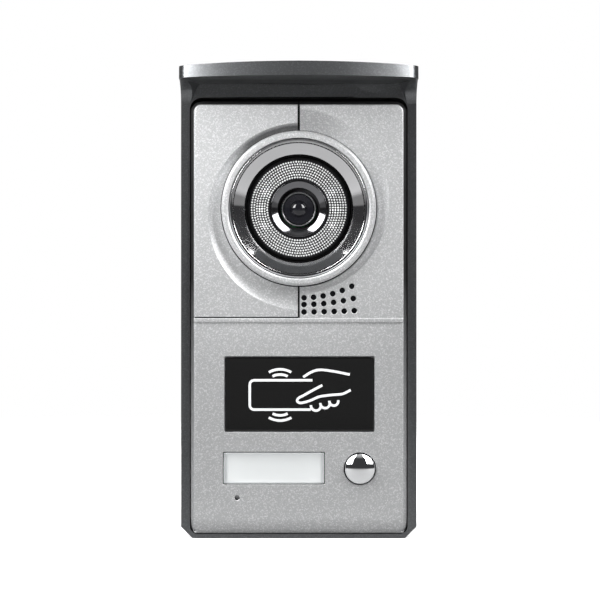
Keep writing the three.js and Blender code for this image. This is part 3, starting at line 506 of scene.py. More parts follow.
def turned_metal_group():
    """Machined or drawn metal: fine parallel lines across the wall axis, with a slow stain."""
    group, given, result = new_group(
        "Drawn Metal",
        [("Colour", COLOUR, (0.5, 0.5, 0.5, 1)), ("Roughness", FLOAT, 0.3), ("Line Width", FLOAT, 0.2),
         ("Relief", FLOAT, 0.2)],
        [("Colour", COLOUR), ("Roughness", FLOAT), ("Normal", VECTOR)],
    )
    nodes, link = group.nodes, group.links.new
    place_node = nodes.new("ShaderNodeTexCoord")
    stretch = add_node(nodes, "ShaderNodeMapping")
    stretch.inputs["Scale"].default_value = (0.04, 1.0, 1.0)
    link(place_node.outputs["Object"], stretch.inputs["Vector"])
    scale = add_node(nodes, "ShaderNodeMath", operation="DIVIDE")
    scale.inputs[0].default_value = 1 / MM
    link(given.outputs["Line Width"], scale.inputs[1])
    lines = add_node(nodes, "ShaderNodeTexNoise", Detail=3.0)
    link(stretch.outputs[0], lines.inputs["Vector"])
    link(scale.outputs[0], lines.inputs["Scale"])
    stain = add_node(nodes, "ShaderNodeTexNoise", Scale=140.0, Detail=3.0)
    link(place_node.outputs["Object"], stain.inputs["Vector"])
    tone = nodes.new("ShaderNodeMapRange")
    for label, value in (("From Min", 0.3), ("From Max", 0.7), ("To Min", 0.82), ("To Max", 1.06)):
        tone.inputs[label].default_value = value
    link(stain.outputs["Fac"], tone.inputs["Value"])
    toned = add_node(nodes, "ShaderNodeVectorMath", operation="SCALE")
    link(given.outputs["Colour"], toned.inputs[0])
    link(tone.outputs[0], toned.inputs["Scale"])
    link(toned.outputs[0], result.inputs["Colour"])
    uneven = nodes.new("ShaderNodeMapRange")
    for label, value in (("From Min", 0.3), ("From Max", 0.7), ("To Min", -0.08), ("To Max", 0.12)):
        uneven.inputs[label].default_value = value
    link(lines.outputs["Fac"], uneven.inputs["Value"])
    rough = add_node(nodes, "ShaderNodeMath", operation="ADD", use_clamp=True)
    link(given.outputs["Roughness"], rough.inputs[0])
    link(uneven.outputs[0], rough.inputs[1])
    link(rough.outputs[0], result.inputs["Roughness"])
    bump = add_node(nodes, "ShaderNodeBump", Distance=0.00003)
    link(given.outputs["Relief"], bump.inputs["Strength"])
    link(lines.outputs["Fac"], bump.inputs["Height"])
    link(bump.outputs[0], result.inputs["Normal"])
    return group


GROUP_MAKERS = {
    "Flaked Paint": flaked_paint_group,
    "Handled Gloss": handled_gloss_group,
    "Moulded Grain": moulded_grain_group,
    "Drawn Metal": turned_metal_group,
}


def effect(name):
    """One of the shared surface effects, built the first time it is asked for."""
    return bpy.data.node_groups.get(name) or GROUP_MAKERS[name]()


def new_material(name, effect_name, effect_values, **shader_values):
    """A material whose colour, roughness and relief come from one shared effect."""
    material = bpy.data.materials.new(name)
    material.use_nodes = True
    nodes, link = material.node_tree.nodes, material.node_tree.links.new
    shader = nodes["Principled BSDF"]
    for label, value in shader_values.items():
        shader.inputs[label.replace("_", " ")].default_value = value
    surface = nodes.new("ShaderNodeGroup")
    surface.node_tree = effect(effect_name)
    for label, value in effect_values.items():
        surface.inputs[label].default_value = value
    link(surface.outputs["Colour"], shader.inputs["Base Color"])
    link(surface.outputs["Roughness"], shader.inputs["Roughness"])
    link(surface.outputs["Normal"], shader.inputs["Normal"])
    return material


# ---------------------------------------------------------------- finishes


def made_once(make):
    """Lets a finish be made the first time it is asked for and found again by its name after that."""
    name = "intercom_" + make.__name__

    def finish():
        return bpy.data.materials.get(name) or make(name)

    return finish


@made_once
def hood_paint(name):
    colours = bpy.context.scene.intercom_colours
    return new_material(name, "Flaked Paint", {
        "Colour": (*colours.hood, 1), "Flake Colour": (0.5, 0.51, 0.53, 1), "Flakes": 0.13,
        "Flake Size": 0.35, "Roughness": 0.31, "Relief": 0.1,
    }, Metallic=0.96)


@made_once
def silver_paint(name):
    """Silver paint, mixed towards black by the mesh's values of painted shade: painted shade in the seams,
    recesses, dishes and on the rim.
    """
    colours = bpy.context.scene.intercom_colours
    material = new_material(name, "Flaked Paint", {
        "Colour": (*colours.silver, 1), "Flake Colour": (0.95, 0.95, 0.96, 1), "Flakes": 0.35,
        "Flake Size": 0.38, "Roughness": 0.38, "Relief": 0.12,
    }, Metallic=0.5)
    darken_by_painted_shade(material)
    return material


def darken_by_painted_shade(material):
    """Mixes a material's colour with black by the mesh's own values of painted shade."""
    nodes, link = material.node_tree.nodes, material.node_tree.links.new
    colour = nodes["Principled BSDF"].inputs["Base Color"]
    painted_shade = add_node(nodes, "ShaderNodeAttribute", attribute_name="painted_shade")
    mixed = add_node(nodes, "ShaderNodeMix", data_type="RGBA")
    mixed.inputs["B"].default_value = (0.006, 0.006, 0.006, 1)
    link(painted_shade.outputs["Fac"], mixed.inputs["Factor"])
    link(colour.links[0].from_socket, mixed.inputs["A"])
    link(mixed.outputs["Result"], colour)


@made_once
def polished_chrome(name):
    material = new_material(name, "Handled Gloss", {
        "Colour": (0.85, 0.86, 0.87, 1), "Roughness": 0.05, "Smears": 0.04, "Dust": 0.02, "Relief": 0.02,
    }, Metallic=1.0)
    darken_by_painted_shade(material)
    return material


@made_once
def smoked_chrome(name):
    return new_material(name, "Handled Gloss", {
        "Colour": (0.66, 0.66, 0.67, 1), "Roughness": 0.05, "Smears": 0.03, "Dust": 0.02, "Relief": 0.01,
    }, Metallic=1.0)


@made_once
def black_chrome(name):
    return new_material(name, "Handled Gloss", {
        "Colour": (0.2, 0.2, 0.21, 1), "Roughness": 0.09, "Smears": 0.06, "Dust": 0.02, "Relief": 0.03,
    }, Metallic=1.0)


@made_once
def gloss_black(name):
    return new_material(name, "Handled Gloss", {
        "Colour": (0.003, 0.003, 0.003, 1), "Roughness": 0.05, "Smears": 0.05, "Dust": 0.006,
        "Relief": 0.02,
    }, Specular_IOR_Level=0.5)


@made_once
def matte_black(name):
    return new_material(name, "Moulded Grain", {
        "Colour": (0.018, 0.018, 0.019, 1), "Roughness": 0.5, "Grain Size": 0.35, "Relief": 0.4,
    })


@made_once
def black_rubber(name):
    return new_material(name, "Moulded Grain", {
        "Colour": (0.012, 0.012, 0.012, 1), "Roughness": 0.78, "Grain Size": 0.6, "Relief": 0.5,
        "Variation": 0.25,
    })


@made_once
def clear_cover(name):
    return new_material(name, "Handled Gloss", {
        "Colour": (0.9, 0.93, 0.94, 1), "Roughness": 0.08, "Smears": 0.08, "Dust": 0.03, "Relief": 0.03,
    }, Alpha=0.3)


@made_once
def frosted_white(name):
    return new_material(name, "Moulded Grain", {
        "Colour": (0.8, 0.82, 0.82, 1), "Roughness": 0.42, "Grain Size": 0.2, "Relief": 0.2,
        "Variation": 0.06,
    })


@made_once
def name_card(name):
    return new_material(name, "Moulded Grain", {
        "Colour": (0.62, 0.62, 0.61, 1), "Roughness": 0.8, "Grain Size": 0.12, "Relief": 0.25,
        "Variation": 0.08,
    })


@made_once
def card_print(name):
    return new_material(name, "Moulded Grain", {
        "Colour": (0.52, 0.52, 0.51, 1), "Roughness": 0.7, "Grain Size": 0.12, "Relief": 0.2,
        "Variation": 0.06,
    })


@made_once
def bare_steel(name):
    return new_material(name, "Drawn Metal", {
        "Colour": (0.55, 0.56, 0.57, 1), "Roughness": 0.28, "Line Width": 0.15, "Relief": 0.3,
    }, Metallic=1.0)


@made_once
def bare_brass(name):
    return new_material(name, "Drawn Metal", {
        "Colour": (0.62, 0.45, 0.16, 1), "Roughness": 0.26, "Line Width": 0.12, "Relief": 0.3,
    }, Metallic=1.0)


@made_once
def relay_blue(name):
    return new_material(name, "Moulded Grain", {
        "Colour": (0.02, 0.1, 0.32, 1), "Roughness": 0.35, "Grain Size": 0.25, "Relief": 0.2,
    })


@made_once
def terminal_green(name):
    return new_material(name, "Moulded Grain", {
        "Colour": (0.03, 0.25, 0.08, 1), "Roughness": 0.42, "Grain Size": 0.25, "Relief": 0.25,
    })


@made_once
def dark_cloth(name):
    return new_material(name, "Moulded Grain", {
        "Colour": (0.012, 0.012, 0.014, 1), "Roughness": 0.9, "Grain Size": 0.25, "Relief": 0.8,
        "Variation": 0.3,
    })


@made_once
def coated_glass(name):
    return new_material(name, "Handled Gloss", {
        "Colour": (0.006, 0.006, 0.008, 1), "Roughness": 0.02, "Smears": 0.02, "Dust": 0.02, "Relief": 0.01,
    }, Coat_Weight=0.3, Coat_Roughness=0.02)


def circuit_board_finish(name, colour):
    """Lacquered circuit board: copper tracks show through as slightly lighter square-cornered bands."""
    material = new_material(name, "Moulded Grain", {
        "Colour": colour, "Roughness": 0.34, "Grain Size": 0.3, "Relief": 0.15, "Variation": 0.15,
    })
    nodes, link = material.node_tree.nodes, material.node_tree.links.new
    shader = nodes["Principled BSDF"]
    place_node = nodes.new("ShaderNodeTexCoord")
    tracks = add_node(nodes, "ShaderNodeTexBrick", Scale=330.0)
    tracks.inputs["Mortar Size"].default_value = 0.06
    tracks.inputs["Color1"].default_value = (0, 0, 0, 1)
    tracks.inputs["Color2"].default_value = (0, 0, 0, 1)
    tracks.inputs["Mortar"].default_value = (1, 1, 1, 1)
    turn = nodes.new("ShaderNodeMapping")
    turn.inputs["Rotation"].default_value = (np.pi / 2, 0, 0)
    link(place_node.outputs["Object"], turn.inputs["Vector"])
    link(turn.outputs[0], tracks.inputs["Vector"])
    mixed = add_node(nodes, "ShaderNodeMix", data_type="RGBA")
    mixed.inputs["B"].default_value = tuple(min(1, c * 2.2) for c in colour[:3]) + (1,)
    link(tracks.outputs["Color"], mixed.inputs["Factor"])
    link(shader.inputs["Base Color"].links[0].from_socket, mixed.inputs["A"])
    link(mixed.outputs["Result"], shader.inputs["Base Color"])
    return material


@made_once
def green_board(name):
    return circuit_board_finish(name, (0.01, 0.085, 0.03, 1))


@made_once
def black_board(name):
    return circuit_board_finish(name, (0.01, 0.011, 0.012, 1))


# ---------------------------------------------------------------- sizes and colours a user would change


class IntercomSizes(bpy.types.PropertyGroup):
    """Sizes of the visible details that the CAD parts leave plain."""

    edge: bpy.props.FloatProperty(
        name="Edge Radius", description="Radius on the front panel's hole edges", default=0.28 * MM,
        unit="LENGTH", precision=5)
    hood_edge: bpy.props.FloatProperty(
        name="Hood Edge", description="Radius on the hood's edges", default=0.45 * MM,
        unit="LENGTH", precision=5)
    bump_pitch: bpy.props.FloatProperty(
        name="Bump Pitch", description="Distance between the rings of bumps on the diffuser",
        default=1.05 * MM, unit="LENGTH", precision=5)
    bump_rise: bpy.props.FloatProperty(
        name="Bump Rise", description="How far each bump of the diffuser stands out",
        default=0.34 * MM, unit="LENGTH", precision=5)
    stroke: bpy.props.FloatProperty(
        name="Stroke Width", description="Width of the printed lines on the reader window",
        default=1.0 * MM, unit="LENGTH", precision=5)


class IntercomColours(bpy.types.PropertyGroup):
    """Colours of the painted pieces."""

    hood: bpy.props.FloatVectorProperty(
        name="Hood", description="Colour of the rain hood", default=(0.16, 0.165, 0.17),
        size=3, min=0, max=1, subtype="COLOR")
    silver: bpy.props.FloatVectorProperty(
        name="Front Panel", description="Colour of the front panel and the bezel",
        default=(0.43, 0.435, 0.44), size=3, min=0, max=1, subtype="COLOR")
    ink: bpy.props.FloatVectorProperty(
        name="Printed Lines", description="Colour of the lines on the reader window",
        default=(0.78, 0.79, 0.8), size=3, min=0, max=1, subtype="COLOR")


# ---------------------------------------------------------------- front panel

BEVEL = (1.8, 3.6)  # how far the panel's sloping rim runs in and falls back
RIM_RADIUS = 0.5  # radius between the flat front and the sloping rim
TOP_GAP = 1.2  # how much lower the panel's top lies than its CAD part's
PANEL_RADII = (4.6, 3.0)  # corner radius at the top and at the bottom
PANEL_BACK_WALL = 2.0
PANEL_INNER = 24.4
ROLL_START, ROLL_RADIUS = -86.0, 9.0
DISH_RADIUS, DISH_SHIFT, DISH_DEPTH = 37.7, (1.2, -3.2), 2.1
OPENING_RADIUS = 31.5
SEAM_HALF_TOP, SEAM_HALF_LOW = 0.5, 0.4
CLEARANCE = 0.3
BELT_Y = (-7.9, -6.1)
BELT_HALF = 42.25
# The line above the belt's left half is a groove that is also painted black as shade.
LINE_TOP = 0.5  # height of the dark line above the belt's left half
SPEAKER_ROWS = ((2.05, 3.84, 0.185), (-0.68, 3.96, 0.097), (-3.66, 4.04, 0.022))
SPEAKER_START, SPEAKER_COLUMNS, SPEAKER_HOLE = 2.13, 6, 1.15
READER_LEDGE = 2.0
BUTTON_HOLE, MICROPHONE_HOLE = 6.5, 1.0
RIM_BELOW_FOOT = 12  # how much lower the outline of the sloping rim ends than the panel
# Painted shade on the rim's slope: its darkest value, and the heights where it starts and where that is
# reached.
RIM_SHADE, RIM_SHADE_HEIGHTS = 0.95, (-75, 10)  # darkest on the slope, and where it starts and is reached
# Painted shade in the dishes sets in from a dish's edge over this width.
DISH_SHADE_BLUR = 1.2  # width over which a dish's shade sets in from its edge
# Painted shade in the left and right dish: how dark beside the top seam, degrees from there to where
# the painted shade is gone, and over how many degrees it fades.
DISH_SHADES = ((0.8, 66, 28), (0.3, 40, 25))


def speaker_hole_places():
    """Three rows of holes; the nth in a row lies at start + pitch n and row height + rise n^2."""
    n = np.arange(SPEAKER_COLUMNS)
    return np.concatenate([
        np.column_stack([SPEAKER_START + pitch * n, y + rise * n ** 2]) for y, pitch, rise in SPEAKER_ROWS
    ])


def dish_edge(angle):
    """Radius of a dish's outer edge at an angle round the camera. It lies on a circle off the camera's
    centre: r = s + sqrt(s^2 - shift^2 + R^2) with s = shift along the angle. The right half is the left
    half turned by half a turn."""
    angle = np.where(np.cos(angle) > 0, angle + np.pi, angle)
    along = DISH_SHIFT[0] * np.cos(angle) + DISH_SHIFT[1] * np.sin(angle)
    return along + np.sqrt(along ** 2 - np.hypot(*DISH_SHIFT) ** 2 + DISH_RADIUS ** 2)


def belt_height(x, y):
    """Height of the belt and the grooves along it: straight stretches between a few heights."""
    low, high = BELT_Y
    ridge = np.interp(
        y,
        [low - 0.7, low - 0.6, low - 0.32, low - 0.02, low + 0.03, low + 0.2, low + 0.45,
         high - 0.45, high - 0.2, high - 0.03, high + 0.02],
        [0, -0.02, -0.08, -0.03, 0.28, 0.44, 0.5, 0.5, 0.44, 0.28, 0],
    )
    line = np.interp(y, [high, high + 0.03, high + LINE_TOP - 0.05, high + LINE_TOP], [0, -0.7, -0.7, 0])
    ridge = np.where((np.abs(x) > BELT_HALF) & (ridge > 0), 0, ridge)
    return np.where((line < 0) & (x < 0), line, ridge)


class PanelShape:
    """The places and radii of the front panel's features, measured from the CAD parts."""

    def __init__(self, edge):
        self.low, self.high = (corner[:2] for corner in face_box("front_panel"))
        self.high = self.high - (0, TOP_GAP)
        self.camera = face_centre("bezel_ring")
        self.front = face_box("reader_window")[1][2]
        self.back = face_box("front_panel")[0][2]
        self.edge = edge
        around = (-CLEARANCE, CLEARANCE)
        self.reader = [corner[:2] + shift for corner, shift in zip(face_box("reader_window"), around)]
        self.label = [corner[:2] + shift for corner, shift in zip(face_box("label_cover"), around)]
        self.round_holes = [
            (self.camera, OPENING_RADIUS, 200),
            (face_centre("button_cap"), BUTTON_HOLE, 72),
            (face_centre("microphone_boot"), MICROPHONE_HOLE, 28),
            *((place_, SPEAKER_HOLE, 28) for place_ in speaker_hole_places()),
        ]

    def outline_depth(self, x, y):
        """Depth inside the panel's outline."""
        return inside_depth(x, y, self.low, self.high, *PANEL_RADII)

    def rim_depth(self, x, y):
        """Depth inside the outline with its foot drawn lower, so the sloping rim leaves out the foot."""
        return inside_depth(x, y, self.low - (0, RIM_BELOW_FOOT), self.high, *PANEL_RADII)

    def hole_distance(self, x, y):
        """Distance to the nearest hole's wall, negative in a hole."""
        away = [np.hypot(x - c[0], y - c[1]) - r for c, r, _ in self.round_holes]
        away.append(-inside_depth(x, y, *self.label, 0.5, 0.5))
        return np.min(away, 0)

    def front_height(self, x, y):
        """The plate's front less its carved features, its rolled foot, bevelled rim and rounded holes."""
        z = np.full(x.shape, self.front)
        fallen = np.clip(ROLL_START - y, 0, ROLL_RADIUS - 1)
        z -= ROLL_RADIUS - np.sqrt(ROLL_RADIUS ** 2 - fallen ** 2)
        z += belt_height(x, y)
        u, v = x - self.camera[0], y - self.camera[1]
        radius, angle = np.hypot(u, v), np.arctan2(v, u)
        edge = dish_edge(angle)
        share = np.clip((edge - radius) / (edge - OPENING_RADIUS), 0, 1)
        z -= DISH_DEPTH * (1 - (1 - share) ** 2.1)
        floor = self.front - DISH_DEPTH - CLEARANCE
        z = np.where(self.in_seam(x, y), np.minimum(z, floor), z)
        z -= rim_drop(self.rim_depth(x, y))
        z -= edge_drop(self.hole_distance(x, y), self.edge)
        into_reader = inside_depth(x, y, *self.reader, 0.5, 0.5)
        z -= edge_drop(-into_reader, self.edge) * (into_reader < 0.02)
        return np.where(into_reader > 0.02, self.front - 1.5, z)

    def in_seam(self, x, y):
        """Whether a point lies in the seam above or below the camera."""
        above = y - self.camera[1]
        top_seam = (above > 0) & (np.abs(x) < SEAM_HALF_TOP - 0.02)
        low_seam = (above < 0) & (np.abs(x) < SEAM_HALF_LOW - 0.02) & (y > BELT_Y[1] + 0.04)
        return top_seam | low_seam

    def painted_shade(self, x, y):
        """Painted shade, as a share of black: 1 in the seams and in the line above the belt, which are
        painted black as shade. On the slope of the rim the painted shade rises with the height, in the
        dishes it is strongest beside the top seam and fades round the camera, and elsewhere it is 0."""
        depth = self.rim_depth(x, y)
        slope = np.where(depth < BEVEL[0] - 0.35, RIM_SHADE * np.interp(y, RIM_SHADE_HEIGHTS, (0, 1)), 0)
        u, v = x - self.camera[0], y - self.camera[1]
        from_top = np.degrees(np.abs(np.arctan2(u, v)))
        inside = np.clip((dish_edge(np.arctan2(v, u)) - np.hypot(u, v)) / DISH_SHADE_BLUR, 0, 1)
        darkest, gone, fading = (np.where(u < 0, *pair) for pair in zip(*DISH_SHADES))
        dish = inside * darkest * np.clip((gone - from_top) / fading, 0, 1)
        dark = self.in_seam(x, y) | ((belt_height(x, y) < -0.3) & (depth > BEVEL[0]))
        return np.where(dark, 1, np.maximum(slope, dish))

    def back_height(self, x, y):
        """Flat inside, with a wall round the rim that reaches the panel's back."""
        return np.where(self.outline_depth(x, y) < PANEL_BACK_WALL, self.back, PANEL_INNER)

    def loops(self):
        """Closed lines round the holes, the slots and the rim."""
        rings = [circle(c, r + d, steps) for c, r, steps in self.round_holes for d in edge_rings(self.edge)]
        slots = [rounded_outline(*self.label, 0.5, 0.5, -d, 2) for d in edge_rings(self.edge)]
        slots += [rounded_outline(*self.reader, 0.5, 0.5, -d, 3) for d in edge_rings(self.edge)]
        slots += [rounded_outline(*self.reader, 0.5, 0.5, d, 3) for d in (0.04, READER_LEDGE)]
        rims = [rounded_outline(self.low, self.high, *PANEL_RADII, d) for d in rim_insets()]
        return rings + slots + rims

    def lines(self):
        """Lines along the dishes, seams, belt and rolled foot."""
        found = []
        left = np.linspace(np.pi / 2 + 0.006, 1.5 * np.pi - 0.006, 110)
        for half in (left, left + np.pi):
            edge = dish_edge(half)
            shares = [-0.12 / (edge - OPENING_RADIUS), 0, 0.02, *np.linspace(0.06, 0.94, 12)]
            for share in shares:
                radius = edge + (OPENING_RADIUS - edge) * share
                found.append(self.camera + radius[:, None] * np.column_stack([np.cos(half), np.sin(half)]))
        top, opening = self.high[1], self.camera[1] + OPENING_RADIUS
        low, belt = self.camera[1] - OPENING_RADIUS, BELT_Y[1] + 0.04
        for side in (-1, 1):
            for x in (0, 0.02, -0.03, 0.1):
                found.append(upright(side * (SEAM_HALF_TOP - x), opening - 0.5, top))
                found.append(upright(side * (SEAM_HALF_LOW - x), belt, low + 0.5))
            for x in (0, 0.04):
                found.append(upright(side * (BELT_HALF + x), BELT_Y[0] - 0.1, BELT_Y[1] + 0.1))
        reach = self.high[0]
        for y in (-0.7, -0.6, -0.32, -0.02, 0.03, 0.2, 0.45, 1.35, 1.6, 1.77, 1.82):
            found.append(level(-reach, reach, BELT_Y[0] + y))
        for y in (0.03, LINE_TOP - 0.05, LINE_TOP, LINE_TOP + 0.1):
            found.append(level(-reach, -0.1, BELT_Y[1] + y))
        foot = ROLL_START - (ROLL_RADIUS * np.sin(np.linspace(0, 0.84, 9)))
        found += [level(-reach, reach, y) for y in (ROLL_START + 0.5, *foot)]
        return found


def upright(x, y0, y1):
    """Points up a straight line."""
    return subdivided(np.array([[x, y0], [x, y1]], float), 1.5, False)


def level(x0, x1, y):
    """Points along a level line."""
    return subdivided(np.array([[x0, y], [x1, y]], float), 3.0, False)


def front_panel_mesh(edge):
    """The die-cast panel: heights over a flat net that follows its rims, holes, dishes, seams and belt."""
    shape = PanelShape(edge)
    flat, triangles = triangulated(shape.loops(), shape.lines())
    x, y = flat[triangles].mean(1).T
    kept = (shape.outline_depth(x, y) > 1e-4) & (shape.hole_distance(x, y) > 0)
    kept &= inside_depth(x, y, *shape.reader, 0.5, 0.5) < READER_LEDGE
    triangles = triangles[kept]
    used = np.unique(triangles)
    renumbered = np.full(len(flat), -1)
    renumbered[used] = np.arange(len(used))
    flat, triangles = flat[used], renumbered[triangles]
    x, y = flat.T
    points, faces = closed_plate(flat, triangles, shape.front_height(x, y), shape.back_height(x, y))
    # Painted shade: every back point gets 1, so the walls of the holes and of the rim fade to black towards
    # the back.
    return points, faces, np.concatenate([shape.painted_shade(x, y), np.ones(len(x))])


# ---------------------------------------------------------------- operators


class IntercomBuild:
    """What every building operator shares."""

    bl_options = {"REGISTER"}


class INTERCOM_OT_stage(IntercomBuild, bpy.types.Operator):
    """Makes the floor, the soft boxes, the surrounding light and the camera"""

    bl_idname = "intercom.stage"
    bl_label = "Stage"

    def execute(self, context):
        pale_floor()
        soft_boxes()
        surrounding_light()
        front_camera()
        return {"FINISHED"}


CAMERA_PLACE, CAMERA_LENS, CAMERA_SENSOR = (0.0005, -0.874, 0.00117), 126.4, 36.0
SIDE_BOX_PLACE, SIDE_BOX_SIZE = (0.822, -0.375, 1.078), (0.84, 1.6)  # the right one
SIDE_BOX_POWERS = ((-1, 56.0), (1, 49.0))  # side and watts
REAR_BOX_PLACE, REAR_BOX_SIZE, REAR_BOX_POWER = (1.1, 1.1, 0.7), (0.8, 0.8), 5.0  # the right one
BEAM_PLACE, BEAM_AIM = Vector((-0.15, -0.6, 0.12)), Vector((-0.022, -0.027, 0.09))
BEAM_POWER, BEAM_ANGLE, BEAM_RADIUS = 44.0, np.radians(16), 0.08
FLOOR_REACH, FLOOR_FADE = 0.9, 0.45  # radius of the floor, and where it starts to fade out
ROOM_BELOW, ROOM_DARK, ROOM_TOP = (0.3, 0.3, 0.3), (0.045, 0.045, 0.047), (0.55, 0.55, 0.55)
ROOM_LEVELS = ((0.49, ROOM_BELOW), (0.505, ROOM_DARK), (0.9, ROOM_DARK), (0.98, ROOM_TOP))


def pale_floor():
    """A round pale floor under the hood that fades out before its rim."""
    angle = np.arange(96) * TURN / 96
    rim = np.column_stack([np.cos(angle), np.sin(angle)]) * FLOOR_REACH
    mesh = bpy.data.meshes.new("floor")
    mesh.from_pydata([(x, y, CAD_BOX[0].z) for x, y in rim], [], [range(96)])
    floor = bpy.data.objects.new("floor", mesh)
    bpy.context.scene.collection.objects.link(floor)
    floor.data.materials.append(floor_paper())


def floor_paper():
    """White paper that turns clear from the fading radius outwards. It glows a little where it is seen
    straight on, and is greyer in reflections."""
    material = new_material("floor_paper", "Moulded Grain", {
        "Colour": (0.72, 0.72, 0.72, 1), "Roughness": 0.75, "Grain Size": 3.0, "Relief": 0.02,
        "Variation": 0.02,
    }, Emission_Color=(1, 1, 1, 1))
    nodes, link = material.node_tree.nodes, material.node_tree.links.new
    place_node = nodes.new("ShaderNodeTexCoord")
    flat = add_node(nodes, "ShaderNodeVectorMath", operation="MULTIPLY")
    flat.inputs[1].default_value = (1, 1, 0)
    away = add_node(nodes, "ShaderNodeVectorMath", operation="LENGTH")
    fade = add_node(nodes, "ShaderNodeMapRange", interpolation_type="SMOOTHSTEP")
    for label, value in (("From Min", FLOOR_FADE), ("From Max", FLOOR_REACH), ("To Min", 1), ("To Max", 0)):
        fade.inputs[label].default_value = value
    link(place_node.outputs["Object"], flat.inputs[0])
    link(flat.outputs[0], away.inputs[0])
    link(away.outputs["Value"], fade.inputs["Value"])
    link(fade.outputs[0], nodes["Principled BSDF"].inputs["Alpha"])
    path = nodes.new("ShaderNodeLightPath")
    glow = add_node(nodes, "ShaderNodeMath", operation="MULTIPLY")
    glow.inputs[1].default_value = 0.5
    link(path.outputs["Is Camera Ray"], glow.inputs[0])
    shader = nodes["Principled BSDF"]
    link(glow.outputs[0], shader.inputs["Emission Strength"])
    dimmed = add_node(nodes, "ShaderNodeMix", data_type="RGBA")
    dimmed.inputs["A"].default_value = (0.3, 0.3, 0.3, 1)
    link(path.outputs["Is Camera Ray"], dimmed.inputs["Factor"])
    link(shader.inputs["Base Color"].links[0].from_socket, dimmed.inputs["B"])
    link(dimmed.outputs["Result"], shader.inputs["Base Color"])
    return material


def soft_boxes():
    """Two tall soft boxes at the upper left and right, two behind for the back, and a narrow beam from
    the front on the upper left of the panel that is not seen in reflections."""
    for side, power in SIDE_BOX_POWERS:
        mirror = Vector((side, 1, 1))
        across, up = Vector((0.96, 0.263 * side, 0.101 * side)), Vector((-0.136 * side, 0.119, 0.984))
        light_box(f"soft_box_{side}", mirror * Vector(SIDE_BOX_PLACE), (across, up), SIDE_BOX_SIZE, power)
        across, up = Vector((-0.707, -0.707 * side, 0)), Vector((0.28 * side, -0.28, 0.92))
        light_box(f"rear_box_{side}", mirror * Vector(REAR_BOX_PLACE), (across, up), REAR_BOX_SIZE,
                  REAR_BOX_POWER)
    beam = bpy.data.lights.new("beam", "SPOT")
    beam.energy, beam.spot_size, beam.spot_blend = BEAM_POWER, BEAM_ANGLE, 1.0
    beam.shadow_soft_size = BEAM_RADIUS
    lamp = bpy.data.objects.new("beam", beam)
    lamp.location = BEAM_PLACE
    lamp.rotation_euler = (BEAM_AIM - BEAM_PLACE).to_track_quat("-Z", "Y").to_euler()
    lamp.visible_glossy = False
    bpy.context.scene.collection.objects.link(lamp)


def light_box(name, place_, directions, size, power):
    """A rectangular light with its sides along the two directions. It shines away from their cross
    product."""
    light = bpy.data.lights.new(name, "AREA")
    light.shape = "RECTANGLE"
    light.size, light.size_y = size
    light.energy = power
    lamp = bpy.data.objects.new(name, light)
    across, up = directions
    lamp.location = place_
    lamp.rotation_euler = Matrix((across, up, across.cross(up))).transposed().to_euler()
    bpy.context.scene.collection.objects.link(lamp)


def surrounding_light():
    """White seen straight on. In reflections and as fill a room that is dark at eye level and above,
    with a pale ceiling overhead, and pale below, as over a white table."""
    world = bpy.data.worlds.new("studio")
    world.use_nodes = True
    bpy.context.scene.world = world
    nodes, link = world.node_tree.nodes, world.node_tree.links.new
    output = nodes["World Output"]
    room = nodes["Background"]
    direction = nodes.new("ShaderNodeTexCoord")
    parts = nodes.new("ShaderNodeSeparateXYZ")
    link(direction.outputs["Generated"], parts.inputs[0])
    heights = nodes.new("ShaderNodeValToRGB")
    ramp = heights.color_ramp
    for i, (height, colour) in enumerate(ROOM_LEVELS):
        element = ramp.elements[i] if i < 2 else ramp.elements.new(height)
        element.position, element.color = height, (*colour, 1)
    share = nodes.new("ShaderNodeMapRange")
    share.inputs["From Min"].default_value = -1
    link(parts.outputs["Z"], share.inputs["Value"])
    link(share.outputs[0], heights.inputs["Fac"])
    link(heights.outputs["Color"], room.inputs["Color"])
    seen = add_node(nodes, "ShaderNodeBackground", Color=(1, 1, 1, 1))
    path = nodes.new("ShaderNodeLightPath")
    mixed = nodes.new("ShaderNodeMixShader")
    link(path.outputs["Is Camera Ray"], mixed.inputs[0])
    link(room.outputs[0], mixed.inputs[1])
    link(seen.outputs[0], mixed.inputs[2])
    link(mixed.outputs[0], output.inputs["Surface"])
    bpy.context.scene.view_settings.view_transform = "Standard"


def front_camera():
    """A long lens level with the panel's middle, looking straight at the wall."""
    lens = bpy.data.cameras.new("front_camera")
    lens.lens, lens.sensor_width = CAMERA_LENS, CAMERA_SENSOR
    lens.clip_start, lens.clip_end = 0.05, 20
    camera = bpy.data.objects.new("front_camera", lens)
    camera.location = CAMERA_PLACE
    camera.rotation_euler = (np.pi / 2, 0, 0)
    bpy.context.scene.collection.objects.link(camera)
    bpy.context.scene.camera = camera


class INTERCOM_OT_rain_hood(IntercomBuild, bpy.types.Operator):
    """Makes the rain hood with its rounded edges, and the cable grommet in its back"""

    bl_idname = "intercom.rain_hood"
    bl_label = "Rain Hood"

    def execute(self, context):
        width = context.scene.intercom_sizes.hood_edge
        mesh = merged_copy("rain_hood")
        lean_lip_back(mesh)
        hood = put_on("rain_hood_shell", mesh, "intercom", hood_paint(), ["rain_hood"])
        bevel = hood.modifiers.new("edges", "BEVEL")
        bevel.width, bevel.segments = width, 3
        bevel.limit_method, bevel.angle_limit = "ANGLE", np.radians(30)
        bevel.harden_normals = True
        low, high = face_box("cable_grommet")
        outer, middle = (high[0] - low[0]) / 2, face_centre("cable_grommet")
        neck, bore, step = 7.7, 5.2, 2.3
        profile = rounded([
            (bore, low[2]), (neck, low[2]), (neck, step), (outer, step), (outer, high[2]), (bore, high[2]),
        ], [0.3, 0.3, 0.05, 0.1, 0.5, 0.6])
        new_piece("grommet_ring", *turned(profile, middle, 96), "intercom", black_rubber(), "rubber",
                  ["cable_grommet"])
        return {"FINISHED"}


